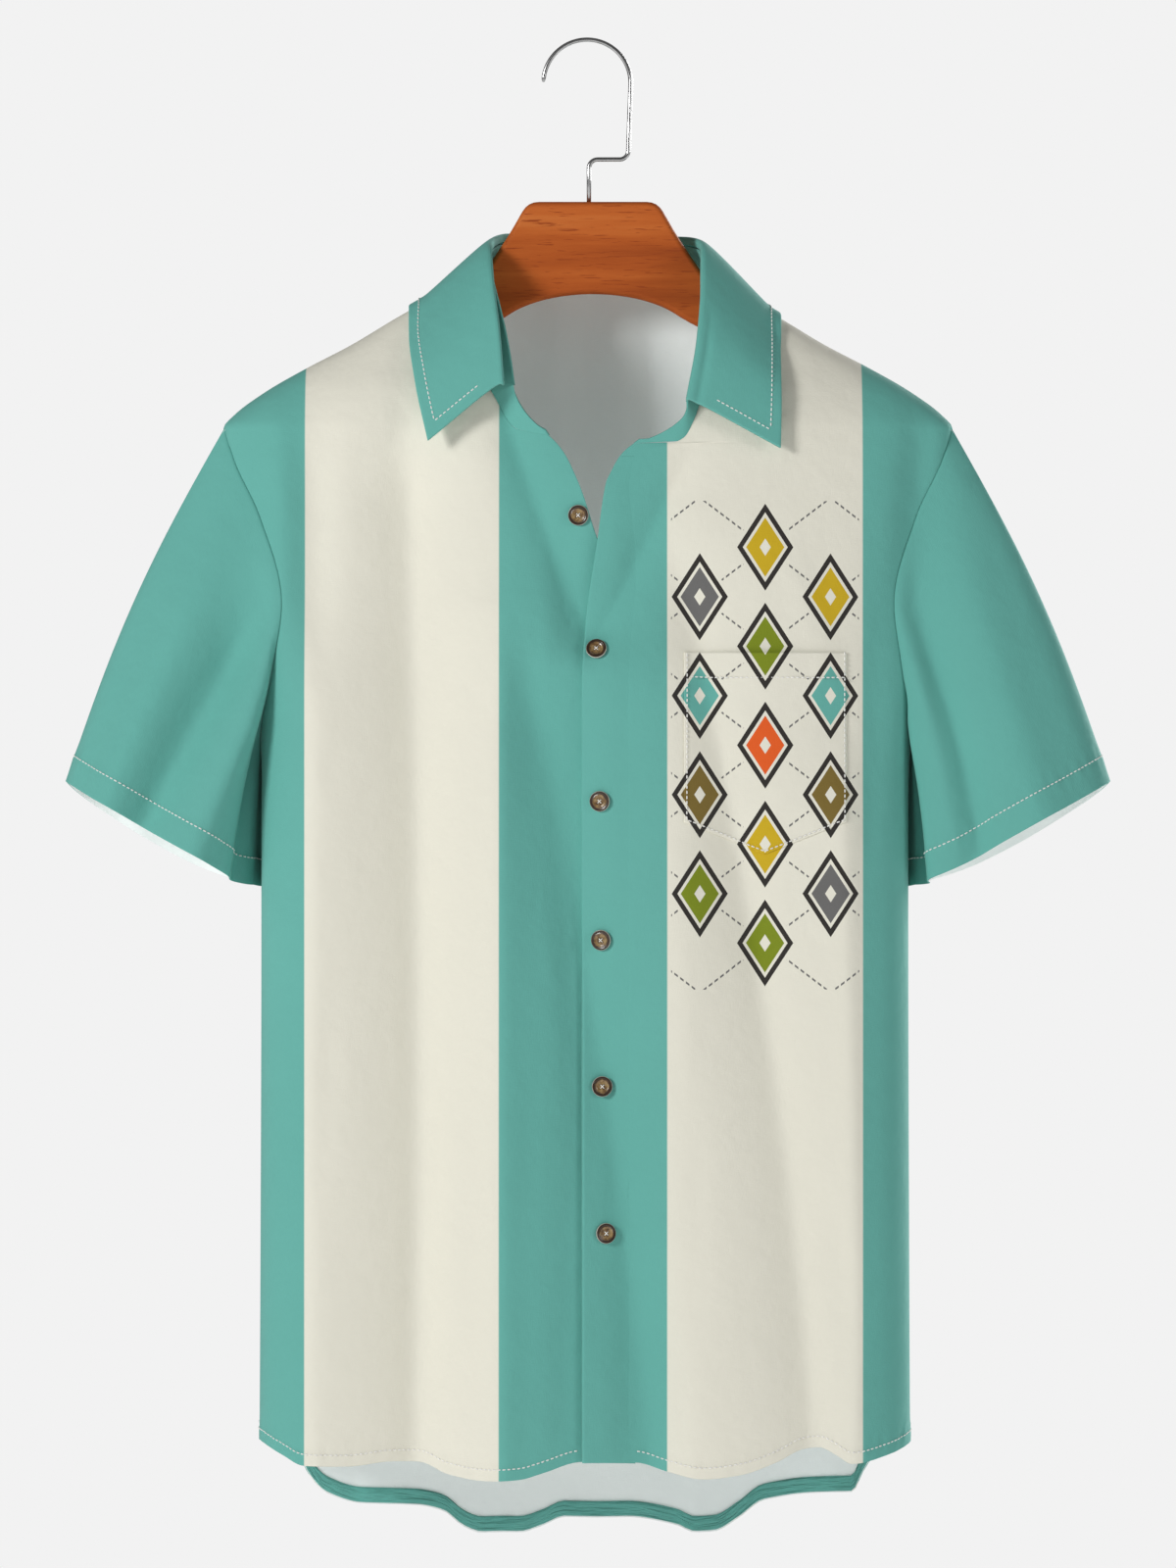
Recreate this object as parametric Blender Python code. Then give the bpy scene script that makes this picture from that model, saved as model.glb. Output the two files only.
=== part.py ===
"""A short-sleeved button-up bowling shirt hanging on a wooden hanger.

Metres, +Z up.  The origin is the inside of the hook's bend, where a rail would carry it.
The wearer's front faces -Y, so the wearer's left side lies towards +X.

The body of the shirt is one surface, torso(angle, z): a level section at each height, with
the angle running from the centre front (0) over the side seams (+-90 degrees) to the centre
back (180).  Every body panel is a stretch of that surface given a cloth wall's thickness,
and sleeves, collar, placket and pocket start from the panels' own edge points.
"""
import math
from collections import namedtuple

import bmesh
import bpy
import numpy as np
from mathutils import Matrix, Vector

# ---------------------------------------------------------------- driving dimensions
CLOTH = 0.0012            # wall of one layer of cloth
COLLAR_CLOTH = 0.0015     # collar and stand are two layers with interlining
SEAM = 0.0003             # gap between neighbouring pieces
LAYER_GAP = 0.0006        # gap under a piece that lies on a panel
SECTION_POWER = 0.7       # squareness of the level sections, 1 is an ellipse

NECK_Z = -0.1500          # back neckline and the neck end of the shoulders
TIP_Z = -0.2445           # shoulder tip, top of the armhole
ARMPIT_Z = -0.4445
NECK_SEAM_Y, TIP_SEAM_Y = 0.0030, 0.0090   # shoulder seam, forward of the ridge

PLACKET_WIDTH = 0.0335
POCKET_LEFT, POCKET_RIGHT = 0.0600, 0.1620
POCKET_TOP, POCKET_SIDE, POCKET_POINT = -0.3870, -0.4930, -0.5134
BODY_SHIFT = -0.0020      # the lower body hangs this far off the middle
BUTTON_RADIUS, BUTTON_THICK = 0.0065, 0.0022
BUTTON_SIDES = 14
BUTTON_GAP = 0.0003       # between a button and the highest cloth under it
BUTTON_REACH = 0.0100     # cloth out to here, a little past the rim, carries the button
TURNED_HEM = 0.0095       # height of the turned hem that shows inside the back

WIRE_RADIUS = 0.0016
HANGER_X = 0.0030         # middle of the hanger
HANGER_HALF_THICK = 0.0050
HANGER_REACH = 0.2160     # from the middle of the shirt to each arm's end

# ---------------------------------------------------------------- section and edge tables
Section = namedtuple("Section", "z half_width front back")
SECTIONS = [              # half width and depths of the level sections
    Section(-0.1500, 0.0780, 0.0140, 0.0500),
    Section(-0.1755, 0.1228, 0.0270, 0.0500),
    Section(-0.1916, 0.1495, 0.0330, 0.0500),
    Section(-0.2065, 0.1780, 0.0375, 0.0505),
    Section(-0.2213, 0.2037, 0.0430, 0.0510),
    Section(-0.2362, 0.2238, 0.0475, 0.0515),
    Section(-0.2445, 0.2305, 0.0495, 0.0520),
    Section(-0.2650, 0.2295, 0.0530, 0.0530),
    Section(-0.3000, 0.2230, 0.0560, 0.0545),
    Section(-0.3400, 0.2170, 0.0575, 0.0555),
    Section(-0.4000, 0.2100, 0.0590, 0.0570),
    Section(-0.4445, 0.2055, 0.0600, 0.0580),
    Section(-0.4700, 0.2045, 0.0600, 0.0580),
    Section(-0.5600, 0.2045, 0.0600, 0.0580),
    Section(-0.7500, 0.2050, 0.0610, 0.0600),
    Section(-0.9500, 0.2060, 0.0640, 0.0630),
]
Armhole = namedtuple("Armhole", "z depth")
ARMHOLE = [               # half the armhole's opening, front to back
    Armhole(-0.2445, 0.0090), Armhole(-0.2620, 0.0180), Armhole(-0.3000, 0.0280),
    Armhole(-0.3500, 0.0330), Armhole(-0.4000, 0.0270), Armhole(-0.4300, 0.0150),
    Armhole(-0.4445, 0.0030),
]
Edge = namedtuple("Edge", "z x")
LEFT_FRONT_EDGE = [       # the wearer's left front: neckline, then the opening's edge
    Edge(-0.1500, 0.0780), Edge(-0.1750, 0.0795), Edge(-0.2050, 0.0765), Edge(-0.2300, 0.0700),
    Edge(-0.2445, 0.0640), Edge(-0.2536, 0.0289), Edge(-0.2765, 0.0117), Edge(-0.3131, 0.0060),
    Edge(-0.3701, -0.0016), Edge(-0.4073, -0.0037), Edge(-0.9500, -0.0037),
]
RIGHT_FRONT_EDGE = [      # the wearer's right front, which runs on under the left one
    Edge(-0.1500, -0.0780), Edge(-0.1750, -0.0765), Edge(-0.2050, -0.0690),
    Edge(-0.2300, -0.0575), Edge(-0.2400, -0.0500), Edge(-0.2478, -0.0250),
    Edge(-0.2765, -0.0074), Edge(-0.3131, 0.0056), Edge(-0.3400, 0.0160),
    Edge(-0.3701, 0.0223), Edge(-0.9500, 0.0223),
]
Hem = namedtuple("Hem", "x z")
FRONT_HEM = [
    Hem(-0.2060, -0.8830), Hem(-0.1905, -0.8910), Hem(-0.1780, -0.8965), Hem(-0.1500, -0.8970),
    Hem(-0.1240, -0.8945), Hem(-0.1050, -0.8950), Hem(-0.0870, -0.9020), Hem(-0.0650, -0.9050),
    Hem(-0.0430, -0.9040), Hem(-0.0280, -0.9000), Hem(-0.0040, -0.8935), Hem(0.0298, -0.8945),
    Hem(0.0495, -0.9000), Hem(0.0720, -0.9045), Hem(0.0950, -0.9020), Hem(0.1175, -0.8945),
    Hem(0.1350, -0.8865), Hem(0.1450, -0.8855), Hem(0.1560, -0.8905), Hem(0.1650, -0.8955),
    Hem(0.1900, -0.8900), Hem(0.2060, -0.8830),
]
BACK_HEM = [
    Hem(-0.2060, -0.8830), Hem(-0.1860, -0.8935), Hem(-0.1775, -0.9100), Hem(-0.1670, -0.9215),
    Hem(-0.1450, -0.9290),
    Hem(-0.1100, -0.9300), Hem(-0.0930, -0.9340), Hem(-0.0790, -0.9450), Hem(-0.0680, -0.9490),
    Hem(-0.0440, -0.9490), Hem(-0.0280, -0.9440), Hem(-0.0150, -0.9385), Hem(0.0240, -0.9385),
    Hem(0.0560, -0.9440), Hem(0.0680, -0.9490), Hem(0.0810, -0.9480), Hem(0.0960, -0.9390),
    Hem(0.1120, -0.9270), Hem(0.1370, -0.9225), Hem(0.1685, -0.9210), Hem(0.1750, -0.9080),
    Hem(0.1850, -0.8935), Hem(0.2060, -0.8830),
]
Fold = namedtuple("Fold", "side x_top x_middle x_end z_top z_end width height")
FOLDS = [                 # ridges (+) and troughs (-) of the hanging cloth, top to end
    Fold("front", -0.174, -0.174, -0.174, -0.330, -0.960, 0.034, 0.0120),
    Fold("front", -0.116, -0.107, -0.110, -0.210, -0.960, 0.034, -0.0220),
    Fold("front", -0.053, -0.052, -0.0515, -0.330, -0.960, 0.024, 0.0085),
    Fold("front", -0.050, 0.012, 0.046, -0.350, -0.960, 0.034, -0.0175),
    Fold("front", 0.060, 0.061, 0.068, -0.330, -0.960, 0.032, 0.0050),
    Fold("front", 0.046, 0.113, 0.146, -0.290, -0.960, 0.025, -0.0125),
    Fold("front", 0.158, 0.166, 0.170, -0.420, -0.960, 0.018, 0.0060),
    Fold("front", -0.070, -0.033, 0.006, -0.185, -0.400, 0.014, -0.0085),
    Fold("front", 0.074, 0.035, -0.005, -0.240, -0.400, 0.017, -0.0070),
    Fold("back", -0.022, -0.022, -0.026, -0.100, -0.420, 0.015, -0.0045),
    Fold("back", 0.000, -0.002, -0.004, -0.100, -0.420, 0.014, 0.0045),
    Fold("back", 0.022, 0.021, 0.022, -0.130, -0.420, 0.014, -0.0040),
    Fold("back", 0.040, 0.040, 0.042, -0.130, -0.420, 0.014, 0.0040),
    Fold("back", -0.158, -0.154, -0.150, -0.420, -0.990, 0.026, 0.0060),
    Fold("back", -0.105, -0.104, -0.112, -0.380, -0.990, 0.026, -0.0080),
    Fold("back", -0.062, -0.055, -0.056, -0.340, -0.990, 0.026, 0.0090),
    Fold("back", 0.000, 0.006, 0.006, -0.300, -0.990, 0.028, -0.0085),
    Fold("back", 0.060, 0.063, 0.072, -0.360, -0.990, 0.026, 0.0090),
    Fold("back", 0.110, 0.119, 0.122, -0.420, -0.990, 0.024, -0.0080),
    Fold("back", 0.160, 0.158, 0.160, -0.480, -0.990, 0.022, 0.0055),
]
FOLD_EASE = 0.090         # length over which a fold grows out of the plain cloth
FOLD_BEND = 0.22          # roundness of a fold's crest, as a share of its width
HEM_START = -0.8300       # a fold that ends above this height dies out there

Collar = namedtuple("Collar", "place roll_x roll_y roll_z edge_x edge_y edge_z")
COLLAR = [                # the collar's roll line and outer edge, around the neck
    Collar(0.00, -0.0548, -0.0600, -0.2190, -0.1005, -0.0560, -0.2542),
    Collar(0.10, -0.0575, -0.0530, -0.1850, -0.1085, -0.0480, -0.2180),
    Collar(0.20, -0.0620, -0.0350, -0.1480, -0.1130, -0.0260, -0.1860),
    Collar(0.28, -0.0635, -0.0120, -0.1270, -0.1125, -0.0060, -0.1690),
    Collar(0.38, -0.0520, 0.0300, -0.1205, -0.0900, 0.0560, -0.1660),
    Collar(0.50, 0.0050, 0.0460, -0.1195, 0.0050, 0.0680, -0.1650),
    Collar(0.62, 0.0610, 0.0300, -0.1210, 0.0980, 0.0560, -0.1660),
    Collar(0.72, 0.0735, -0.0120, -0.1290, 0.1210, -0.0060, -0.1740),
    Collar(0.80, 0.0735, -0.0350, -0.1520, 0.1215, -0.0260, -0.1920),
    Collar(0.90, 0.0705, -0.0530, -0.1900, 0.1215, -0.0480, -0.2240),
    Collar(1.00, 0.0635, -0.0600, -0.2290, 0.1208, -0.0560, -0.2588),
]
ROLL = 0.0022             # radius of the collar's roll
NECK_MIDDLE = np.array([0.004, -0.010, -0.165])
STAND_TAPER = 0.050       # the stand narrows to its front ends over this length

# places down the front where the buttons sit, and across
Button = namedtuple("Button", "x z panel")
BUTTONS = [
    Button(-0.0062, -0.3010, "right"), Button(0.0056, -0.3860, "left"),
    Button(0.0080, -0.4800, "left"), Button(0.0090, -0.5670, "left"),
    Button(0.0086, -0.6590, "left"), Button(0.0104, -0.7510, "left"),
]

TEAL = (0.130, 0.390, 0.350)
CREAM = (0.800, 0.780, 0.700)
WOOD = (0.380, 0.120, 0.050)
HORN = (0.120, 0.050, 0.020)
STEEL = (0.550, 0.560, 0.570)


# ---------------------------------------------------------------- numbers and curves
def smooth(table, column, key, at):
    """Monotone cubic curve through a table's column, read at `at` along its key column."""
    rows = sorted(table, key=lambda row: getattr(row, key))
    x = np.array([getattr(row, key) for row in rows])
    y = np.array([getattr(row, column) for row in rows])
    slope = np.diff(y) / np.diff(x)
    tangent = np.zeros_like(y)
    rising = slope[:-1] * slope[1:] > 0
    both = slope[:-1] + slope[1:]
    tangent[1:-1] = np.where(rising, 2 * slope[:-1] * slope[1:] / np.where(rising, both, 1), 0)
    tangent[0], tangent[-1] = slope[0], slope[-1]
    at = np.clip(at, x[0], x[-1])
    i = np.clip(np.searchsorted(x, at) - 1, 0, len(x) - 2)
    step = x[i + 1] - x[i]
    t = (at - x[i]) / step
    return ((1 + 2 * t) * (1 - t) ** 2 * y[i] + t * (1 - t) ** 2 * step * tangent[i]
            + t * t * (3 - 2 * t) * y[i + 1] + t * t * (t - 1) * step * tangent[i + 1])


def ease(value, start, end):
    """0 before start, 1 after end, and a smooth step between them."""
    t = np.clip((value - start) / (end - start), 0.0, 1.0)
    return t * t * (3 - 2 * t)


def half_width(z):
    return smooth(SECTIONS, "half_width", "z", z)


def middle_x(z):
    """Middle of the level section: below the armholes the shirt hangs slightly to one side."""
    return BODY_SHIFT * ease(z, -0.3600, -0.5000)


def fold_height(side, x, z):
    """How far the folds of one side lift the cloth off its plain section at (x, z)."""
    lift = np.zeros(np.broadcast(x, z).shape)
    for fold in FOLDS:
        if fold.side != side:
            continue
        down = (z - fold.z_top) / (fold.z_end - fold.z_top)
        bow = 4 * down * (1 - down) * (fold.x_middle - (fold.x_top + fold.x_end) / 2)
        crest = fold.x_top + (fold.x_end - fold.x_top) * down + bow
        across = np.sqrt(((x - crest) / fold.width) ** 2 + FOLD_BEND ** 2) - FOLD_BEND
        grow = min(FOLD_EASE, 0.35 * (fold.z_top - fold.z_end))
        fade = ease(z, fold.z_top, fold.z_top - grow)
        if fold.z_end > HEM_START:
            fade = fade * (1 - ease(z, fold.z_end + grow / 2, fold.z_end))
        lift = lift + fold.height * fade * np.exp(-across)
    return lift


def torso(angle, z):
    """Point of the shirt's outer surface: x = a sin, y = -+ depth |cos|^power, plus folds."""
    angle, z = np.broadcast_arrays(angle, z)
    wide = half_width(z)
    cosine = np.cos(angle)
    x = middle_x(z) + wide * np.sin(angle)
    front = cosine >= 0
    depth = np.where(front, smooth(SECTIONS, "front", "z", z), smooth(SECTIONS, "back", "z", z))
    lift = np.where(front, fold_height("front", x, z), fold_height("back", x, z))
    reach = np.abs(cosine) ** SECTION_POWER
    y = depth * reach + lift * np.minimum(1.0, 1.5 * reach)
    return np.stack([x, np.where(front, -y, y), z], -1)


def torso_normal(angle, z):
    """Unit normal of the torso surface, pointing away from the wearer."""
    step = 1e-3
    across = torso(angle + step, z) - torso(angle - step, z)
    down = torso(angle, z - step) - torso(angle, z + step)
    normal = np.cross(down, across)
    return normal / np.linalg.norm(normal, axis=-1, keepdims=True)


def angle_at(x, z):
    return np.arcsin(np.clip((x - middle_x(z)) / half_width(z), -1, 1))


def angle_at_depth(depth, z, side):
    """Angle from the centre at which the plain section is `depth` from the side plane."""
    full = smooth(SECTIONS, side, "z", z)
    return np.arccos(np.clip(depth / full, 0, 1) ** (1 / SECTION_POWER))


# ---------------------------------------------------------------- building solids
def material(name, colour, roughness, metallic=0.0):
    made = bpy.data.materials.new(name)
    made.use_nodes = True
    shader = made.node_tree.nodes["Principled BSDF"]
    shader.inputs["Base Color"].default_value = (*colour, 1.0)
    shader.inputs["Roughness"].default_value = roughness
    shader.inputs["Metallic"].default_value = metallic
    return made


def add_object(name, mesh, finish):
    thing = bpy.data.objects.new(name, mesh)
    thing.data.materials.append(finish)
    bpy.context.collection.objects.link(thing)
    return thing


def wall(name, outer, inward, thickness, finish, closed=False):
    """Closed cloth wall: a grid of outer points and the same grid moved inward.

    outer and inward are (rows, columns, 3); a closed wall joins its last column to its first.
    """
    rows, columns = outer.shape[:2]
    points = np.concatenate([outer, outer + inward * thickness]).reshape(-1, 3)
    inside = rows * columns
    wrap = columns if closed else columns - 1
    faces = []
    for row in range(rows - 1):
        for column in range(wrap):
            a, b = row * columns + column, row * columns + (column + 1) % columns
            c, d = b + columns, a + columns
            faces += [(a, b, c, d), (inside + a, inside + d, inside + c, inside + b)]
    for row, forward in ((0, False), (rows - 1, True)):
        for column in range(wrap):
            a, b = row * columns + column, row * columns + (column + 1) % columns
            rim = (a, b, inside + b, inside + a)
            faces.append(rim[::-1] if not forward else rim)
    if not closed:
        for column, forward in ((0, True), (columns - 1, False)):
            for row in range(rows - 1):
                a, b = row * columns + column, (row + 1) * columns + column
                rim = (a, b, inside + b, inside + a)
                faces.append(rim[::-1] if not forward else rim)
    mesh = bpy.data.meshes.new(name)
    mesh.from_pydata(points.tolist(), [], faces)
    shape = bmesh.new()
    shape.from_mesh(mesh)
    bmesh.ops.triangulate(shape, faces=shape.faces)
    bmesh.ops.recalc_face_normals(shape, faces=shape.faces)
    shape.to_mesh(mesh)
    shape.free()
    mesh.shade_smooth()
    mesh.set_sharp_from_angle(angle=math.radians(50))
    return add_object(name, mesh, finish)


def grid_inward(points, towards):
    """Unit normals of a grid, turned to the side that `towards` (one vector a point) is on."""
    normal = np.cross(np.gradient(points, axis=0), np.gradient(points, axis=1))
    normal /= np.linalg.norm(normal, axis=-1, keepdims=True)
    facing = np.sum(normal * towards, -1, keepdims=True)
    return np.where(facing < 0, -normal, normal)


def unit(vectors):
    return vectors / np.linalg.norm(vectors, axis=-1, keepdims=True)


def mitre(edge, panel_in, away, middle):
    """Shared wall direction where another piece leaves a panel's edge in direction `away`.

    `middle` lies inside the other piece.  Returns that direction and the small step that
    keeps the second piece SEAM off the first.
    """
    along = np.gradient(edge, axis=0)
    other_in = unit(np.cross(along, away))
    facing = np.sum(other_in * (middle - edge), -1, keepdims=True)
    other_in = np.where(facing < 0, -other_in, other_in)
    shared = unit(panel_in + other_in)
    step = away - shared * np.sum(away * shared, -1, keepdims=True)
    return shared, unit(step) * SEAM * 1.2


# ---------------------------------------------------------------- body panels
SHOULDER_LEVELS = np.linspace(-0.1540, TIP_Z, 8)
ARMHOLE_LEVELS = np.array([-0.2650, -0.2765, -0.2945, -0.3131, -0.3400, -0.3640,
                           POCKET_TOP, -0.4110, -0.4300, -0.4395, ARMPIT_Z])
LOWER_LEVELS = np.concatenate([[-0.4670, POCKET_SIDE, POCKET_POINT],
                               np.linspace(-0.5400, -0.8300, 9)])


def front_levels(corner):
    """Heights of a front's rows above the hem; `corner` is where neckline meets opening."""
    return np.concatenate([SHOULDER_LEVELS, [corner], ARMHOLE_LEVELS, LOWER_LEVELS])


def shoulder_seam(z):
    """How far the shoulder seam lies forward of the ridge at this height."""
    return float(np.interp(z, [TIP_Z, NECK_Z], [TIP_SEAM_Y, NECK_SEAM_Y]))


def front_end_angle(z):
    """Where a front panel ends at the side: shoulder seam, armhole, then side seam."""
    if z > ARMPIT_Z + 1e-6:
        depth = shoulder_seam(z) if z > TIP_Z - 1e-6 else smooth(ARMHOLE, "depth", "z", z)
    else:
        depth = 0.0
    return float(angle_at_depth(depth, z, "front")) - SEAM / float(half_width(z)) / 2


def back_end_angle(z):
    """The same for the back panel, which passes forward over the shoulder's ridge."""
    if z > TIP_Z - 1e-6:
        return float(angle_at_depth(shoulder_seam(z), z, "front")) + SEAM / float(half_width(z))
    depth = smooth(ARMHOLE, "depth", "z", z) if z > ARMPIT_Z + 1e-6 else 0.0
    return math.pi - float(angle_at_depth(depth, z, "back")) + SEAM / float(half_width(z)) / 2


def spread(stops, counts):
    """Values that run evenly from each stop to the next, counts[i] steps in stretch i."""
    runs = [np.linspace(a, b, n, endpoint=False) for a, b, n in zip(stops, stops[1:], counts)]
    return np.concatenate(runs + [[stops[-1]]])


def left_front_angles(z):
    """Columns of the left front: the placket's edges and the pocket's sides are columns."""
    start = float(smooth(LEFT_FRONT_EDGE, "x", "z", z))
    end = front_end_angle(z)
    stops = [angle_at(start, z), angle_at(start + PLACKET_WIDTH, z),
             angle_at(POCKET_LEFT, z), angle_at(POCKET_RIGHT, z), end]
    counts = [3, 2, 6, 5]
    if z > -0.30:                        # above the chest: the same steps, evenly shared
        share = np.cumsum([0] + counts) / sum(counts)
        even = [stops[0] + (end - stops[0]) * s for s in share]
        keep = ease(z, -0.2700, -0.3000)
        stops = [e + (s - e) * keep for e, s in zip(even, stops)]
        if z < -0.25:                    # the placket keeps its width down from the corner
            stops[1] = angle_at(start + PLACKET_WIDTH, z)
            stops[2] = max(stops[2], stops[1] + 0.02)
    return spread(stops, counts)


def right_front_angles(z):
    start = float(smooth(RIGHT_FRONT_EDGE, "x", "z", z))
    stops = [angle_at(start, z), -front_end_angle(z)]
    if z > -0.35:
        return spread(stops, [16])
    over = float(smooth(LEFT_FRONT_EDGE, "x", "z", z))      # columns in step with the left's
    step = PLACKET_WIDTH / 3
    return spread([stops[0], angle_at(over + step, z), angle_at(over, z), stops[1]], [2, 1, 13])


def front_grid(levels, angles, hem_rows=3):
    """Angles and heights of a front panel's points; the last rows bend to the hem's curve."""
    angle = np.array([angles(z) for z in levels])
    height = np.repeat(levels[:, None], angle.shape[1], 1)
    last_angle, last_z = angle[-1], levels[-1]
    for step in range(1, hem_rows + 1):
        x = middle_x(last_z) + half_width(last_z) * np.sin(last_angle)
        hem = smooth(FRONT_HEM, "z", "x", x)
        angle = np.vstack([angle, last_angle])
        height = np.vstack([height, last_z + (hem - last_z) * step / hem_rows])
    return angle, height


def tuck(angle, z):
    """How far the right front is set back where it passes under the left one."""
    x = middle_x(z) + half_width(z) * np.sin(angle)
    under = ease(x, -0.0300, -0.0080) * ease(z, -0.2780, -0.3000)
    return under * (CLOTH + 2 * LAYER_GAP)


def left_front():
    """Outer points and inward directions of the wearer's left front, which lies on top."""
    angle, z = front_grid(front_levels(-0.2536), left_front_angles)
    return torso(angle, z), -torso_normal(angle, z)


def right_front():
    """The wearer's right front, set back where it passes under the left one."""
    angle, z = front_grid(front_levels(-0.2478), right_front_angles)
    inward = -torso_normal(angle, z)
    return torso(angle, z) + inward * tuck(angle, z)[..., None], inward


BACK_COLUMNS = 28


def back_panel():
    levels = np.concatenate([[NECK_Z], SHOULDER_LEVELS, [-0.2536], ARMHOLE_LEVELS, LOWER_LEVELS])
    angle = []
    for z in levels:
        end = back_end_angle(z) if z < NECK_Z - 1e-6 else math.pi / 2
        angle.append(np.linspace(end, 2 * math.pi - end, BACK_COLUMNS + 1))
    angle = np.array(angle)
    height = np.repeat(levels[:, None], angle.shape[1], 1)
    last_z = levels[-1]
    hem = smooth(BACK_HEM, "z", "x", middle_x(last_z) + half_width(last_z) * np.sin(angle[-1]))
    for target in ((last_z + hem + TURNED_HEM) / 2, hem + TURNED_HEM, hem):
        angle = np.vstack([angle, angle[-1]])
        height = np.vstack([height, target])
    return torso(angle, height), -torso_normal(angle, height)


def make_back_hem(back, teal):
    """The turned hem that shows inside the back, below the fronts."""
    outer, inward = back
    strip = (outer + inward * (CLOTH + SEAM))[-2:]
    wall("back_hem", strip[:, 2:-2], inward[-2:, 2:-2], CLOTH * 0.75, teal)


def make_placket(front, teal):
    """The band down the left front's edge, made from that panel's points."""
    outer, inward = front
    first, columns = len(SHOULDER_LEVELS), 4
    points, into = outer[first:, :columns], inward[first:, :columns]
    thickness = CLOTH * 0.75
    wall("placket", points - into * (LAYER_GAP + thickness), into, thickness, teal)
    return LAYER_GAP + thickness


def make_pocket(front, cream):
    """Patch pocket with a pointed bottom, made from the left front's points."""
    outer, inward = front
    heights = front_levels(-0.2536)
    top = int(np.argmin(np.abs(heights - POCKET_TOP)))
    point = int(np.argmin(np.abs(heights - POCKET_POINT)))
    first, last = 5, 11
    points = outer[top:point + 1, first:last + 1].copy()
    into = inward[top:point + 1, first:last + 1]
    middle = (POCKET_LEFT + POCKET_RIGHT) / 2
    for column in range(points.shape[1]):
        rise = min(abs(points[-1, column, 0] - middle) / (POCKET_RIGHT - middle), 0.93)
        points[-1, column] += (points[-2, column] - points[-1, column]) * rise
    wall("pocket", points - into * (2 * LAYER_GAP + CLOTH), into, CLOTH, cream)


# ---------------------------------------------------------------- sleeves
SLEEVE_OUTER = (0.3300, -0.4675)     # outer end of the sleeve's hem, x and z
SLEEVE_INNER = {1: (0.2105, -0.5330), -1: (0.2155, -0.5330)}   # inner end of each, by the body
SLEEVE_TUCK, TUCK_AT, TUCK_WIDTH = 0.0155, 3.6, 0.40   # the back of it slips behind the body
SLEEVE_DEPTH = 0.0420                # half the hem's opening, front to back
SLEEVE_BACK_DROP = 0.0090            # the hem hangs this much lower at the back
SLEEVE_BOW = 0.0075                  # outward bow of the sleeve's outer line
SLEEVE_ROWS = 10


def armhole_indices(back_column):
    """Grid places of the armhole's edge points: down the front, then up the back."""
    top = len(SHOULDER_LEVELS) - 1
    bottom = top + 1 + len(ARMHOLE_LEVELS)
    front = [(row, -1) for row in range(top, bottom + 1)]
    back = [(row + 1, back_column) for row in range(bottom, top, -1)]
    return front, back


def sleeve_grid(front, back, side):
    """Outer points of a sleeve, from the armhole's edge to the hem's slanted oval."""
    front_places, back_places = armhole_indices(0 if side > 0 else -1)
    loop = np.array([front[0][place] for place in front_places]
                    + [back[0][place] for place in back_places[1:]])
    bottom = len(front_places) - 1
    loop[bottom] = (front[0][front_places[-1]] + back[0][back_places[0]]) / 2
    drop = (loop[:, 2] - TIP_Z) / (ARMPIT_Z - TIP_Z)
    around = np.arccos(np.clip(1 - 2 * drop, -1, 1))
    around[bottom + 1:] = 2 * math.pi - around[bottom + 1:]
    share = (1 - np.cos(around)) / 2
    inner_x, inner_z = SLEEVE_INNER[side]
    tuck = SLEEVE_TUCK * np.exp(-((around - TUCK_AT) / TUCK_WIDTH) ** 2)
    hem = np.stack([
        side * (SLEEVE_OUTER[0] + (inner_x - SLEEVE_OUTER[0]) * share - tuck),
        -SLEEVE_DEPTH * np.sign(np.sin(around)) * np.abs(np.sin(around)) ** 0.8,
        SLEEVE_OUTER[1] + (inner_z - SLEEVE_OUTER[1]) * share
        - SLEEVE_BACK_DROP * np.maximum(0, -np.sin(around)),
    ], -1)
    outward = np.array([side * 0.9, 0.0, 0.42]) * SLEEVE_BOW
    crest = ((1 + np.cos(around)) / 2)[:, None] ** 2
    rows = []
    for along in np.linspace(0, 1, SLEEVE_ROWS + 1):
        rows.append(loop + (hem - loop) * along + outward * math.sin(math.pi * along) * crest)
    return np.array(rows)


def make_sleeve(name, front, back, side, teal):
    """Build a sleeve, and mitre the panels' armhole edges to it."""
    points = sleeve_grid(front, back, side)
    front_places, back_places = armhole_indices(0 if side > 0 else -1)
    places = [(front, place) for place in front_places]
    places += [(back, place) for place in back_places[1:]]
    bottom = len(front_places) - 1
    panel_in = np.array([panel[1][place] for panel, place in places])
    panel_in[bottom] = (0, 0, 1)
    ringed = np.concatenate([points[:, -1:], points, points[:, :1]], 1)
    away = unit(ringed[1] - ringed[0])
    ring_in = np.vstack([panel_in[-1:], panel_in, panel_in[:1]])
    shared, step = mitre(ringed[0], ring_in, away, points.reshape(-1, 3).mean(0))
    shared, step = shared[1:-1], step[1:-1]
    shared[bottom] = (0, 0, 1)
    step[bottom] = (side * SEAM * 1.2, 0, 0)
    for (panel, place), direction in zip(places, shared):
        panel[1][place] = direction
    back[1][back_places[0]] = (0, 0, 1)
    middle = ringed.mean(1, keepdims=True)
    inward = grid_inward(ringed, np.broadcast_to(middle, ringed.shape) - ringed)[:, 1:-1]
    points[0] += step
    inward[0] = shared
    wall(name, points, inward, CLOTH, teal, closed=True)


# ---------------------------------------------------------------- collar
def neck_places(left, right, back):
    """The panels' neck edge points in order, from the right front round to the left."""
    last = len(SHOULDER_LEVELS)
    places = [(right, (row, 0)) for row in range(last, -1, -1)]
    places += [(back, (0, column)) for column in range(BACK_COLUMNS, -1, -1)]
    places += [(left, (row, 0)) for row in range(last + 1)]
    return places


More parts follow.
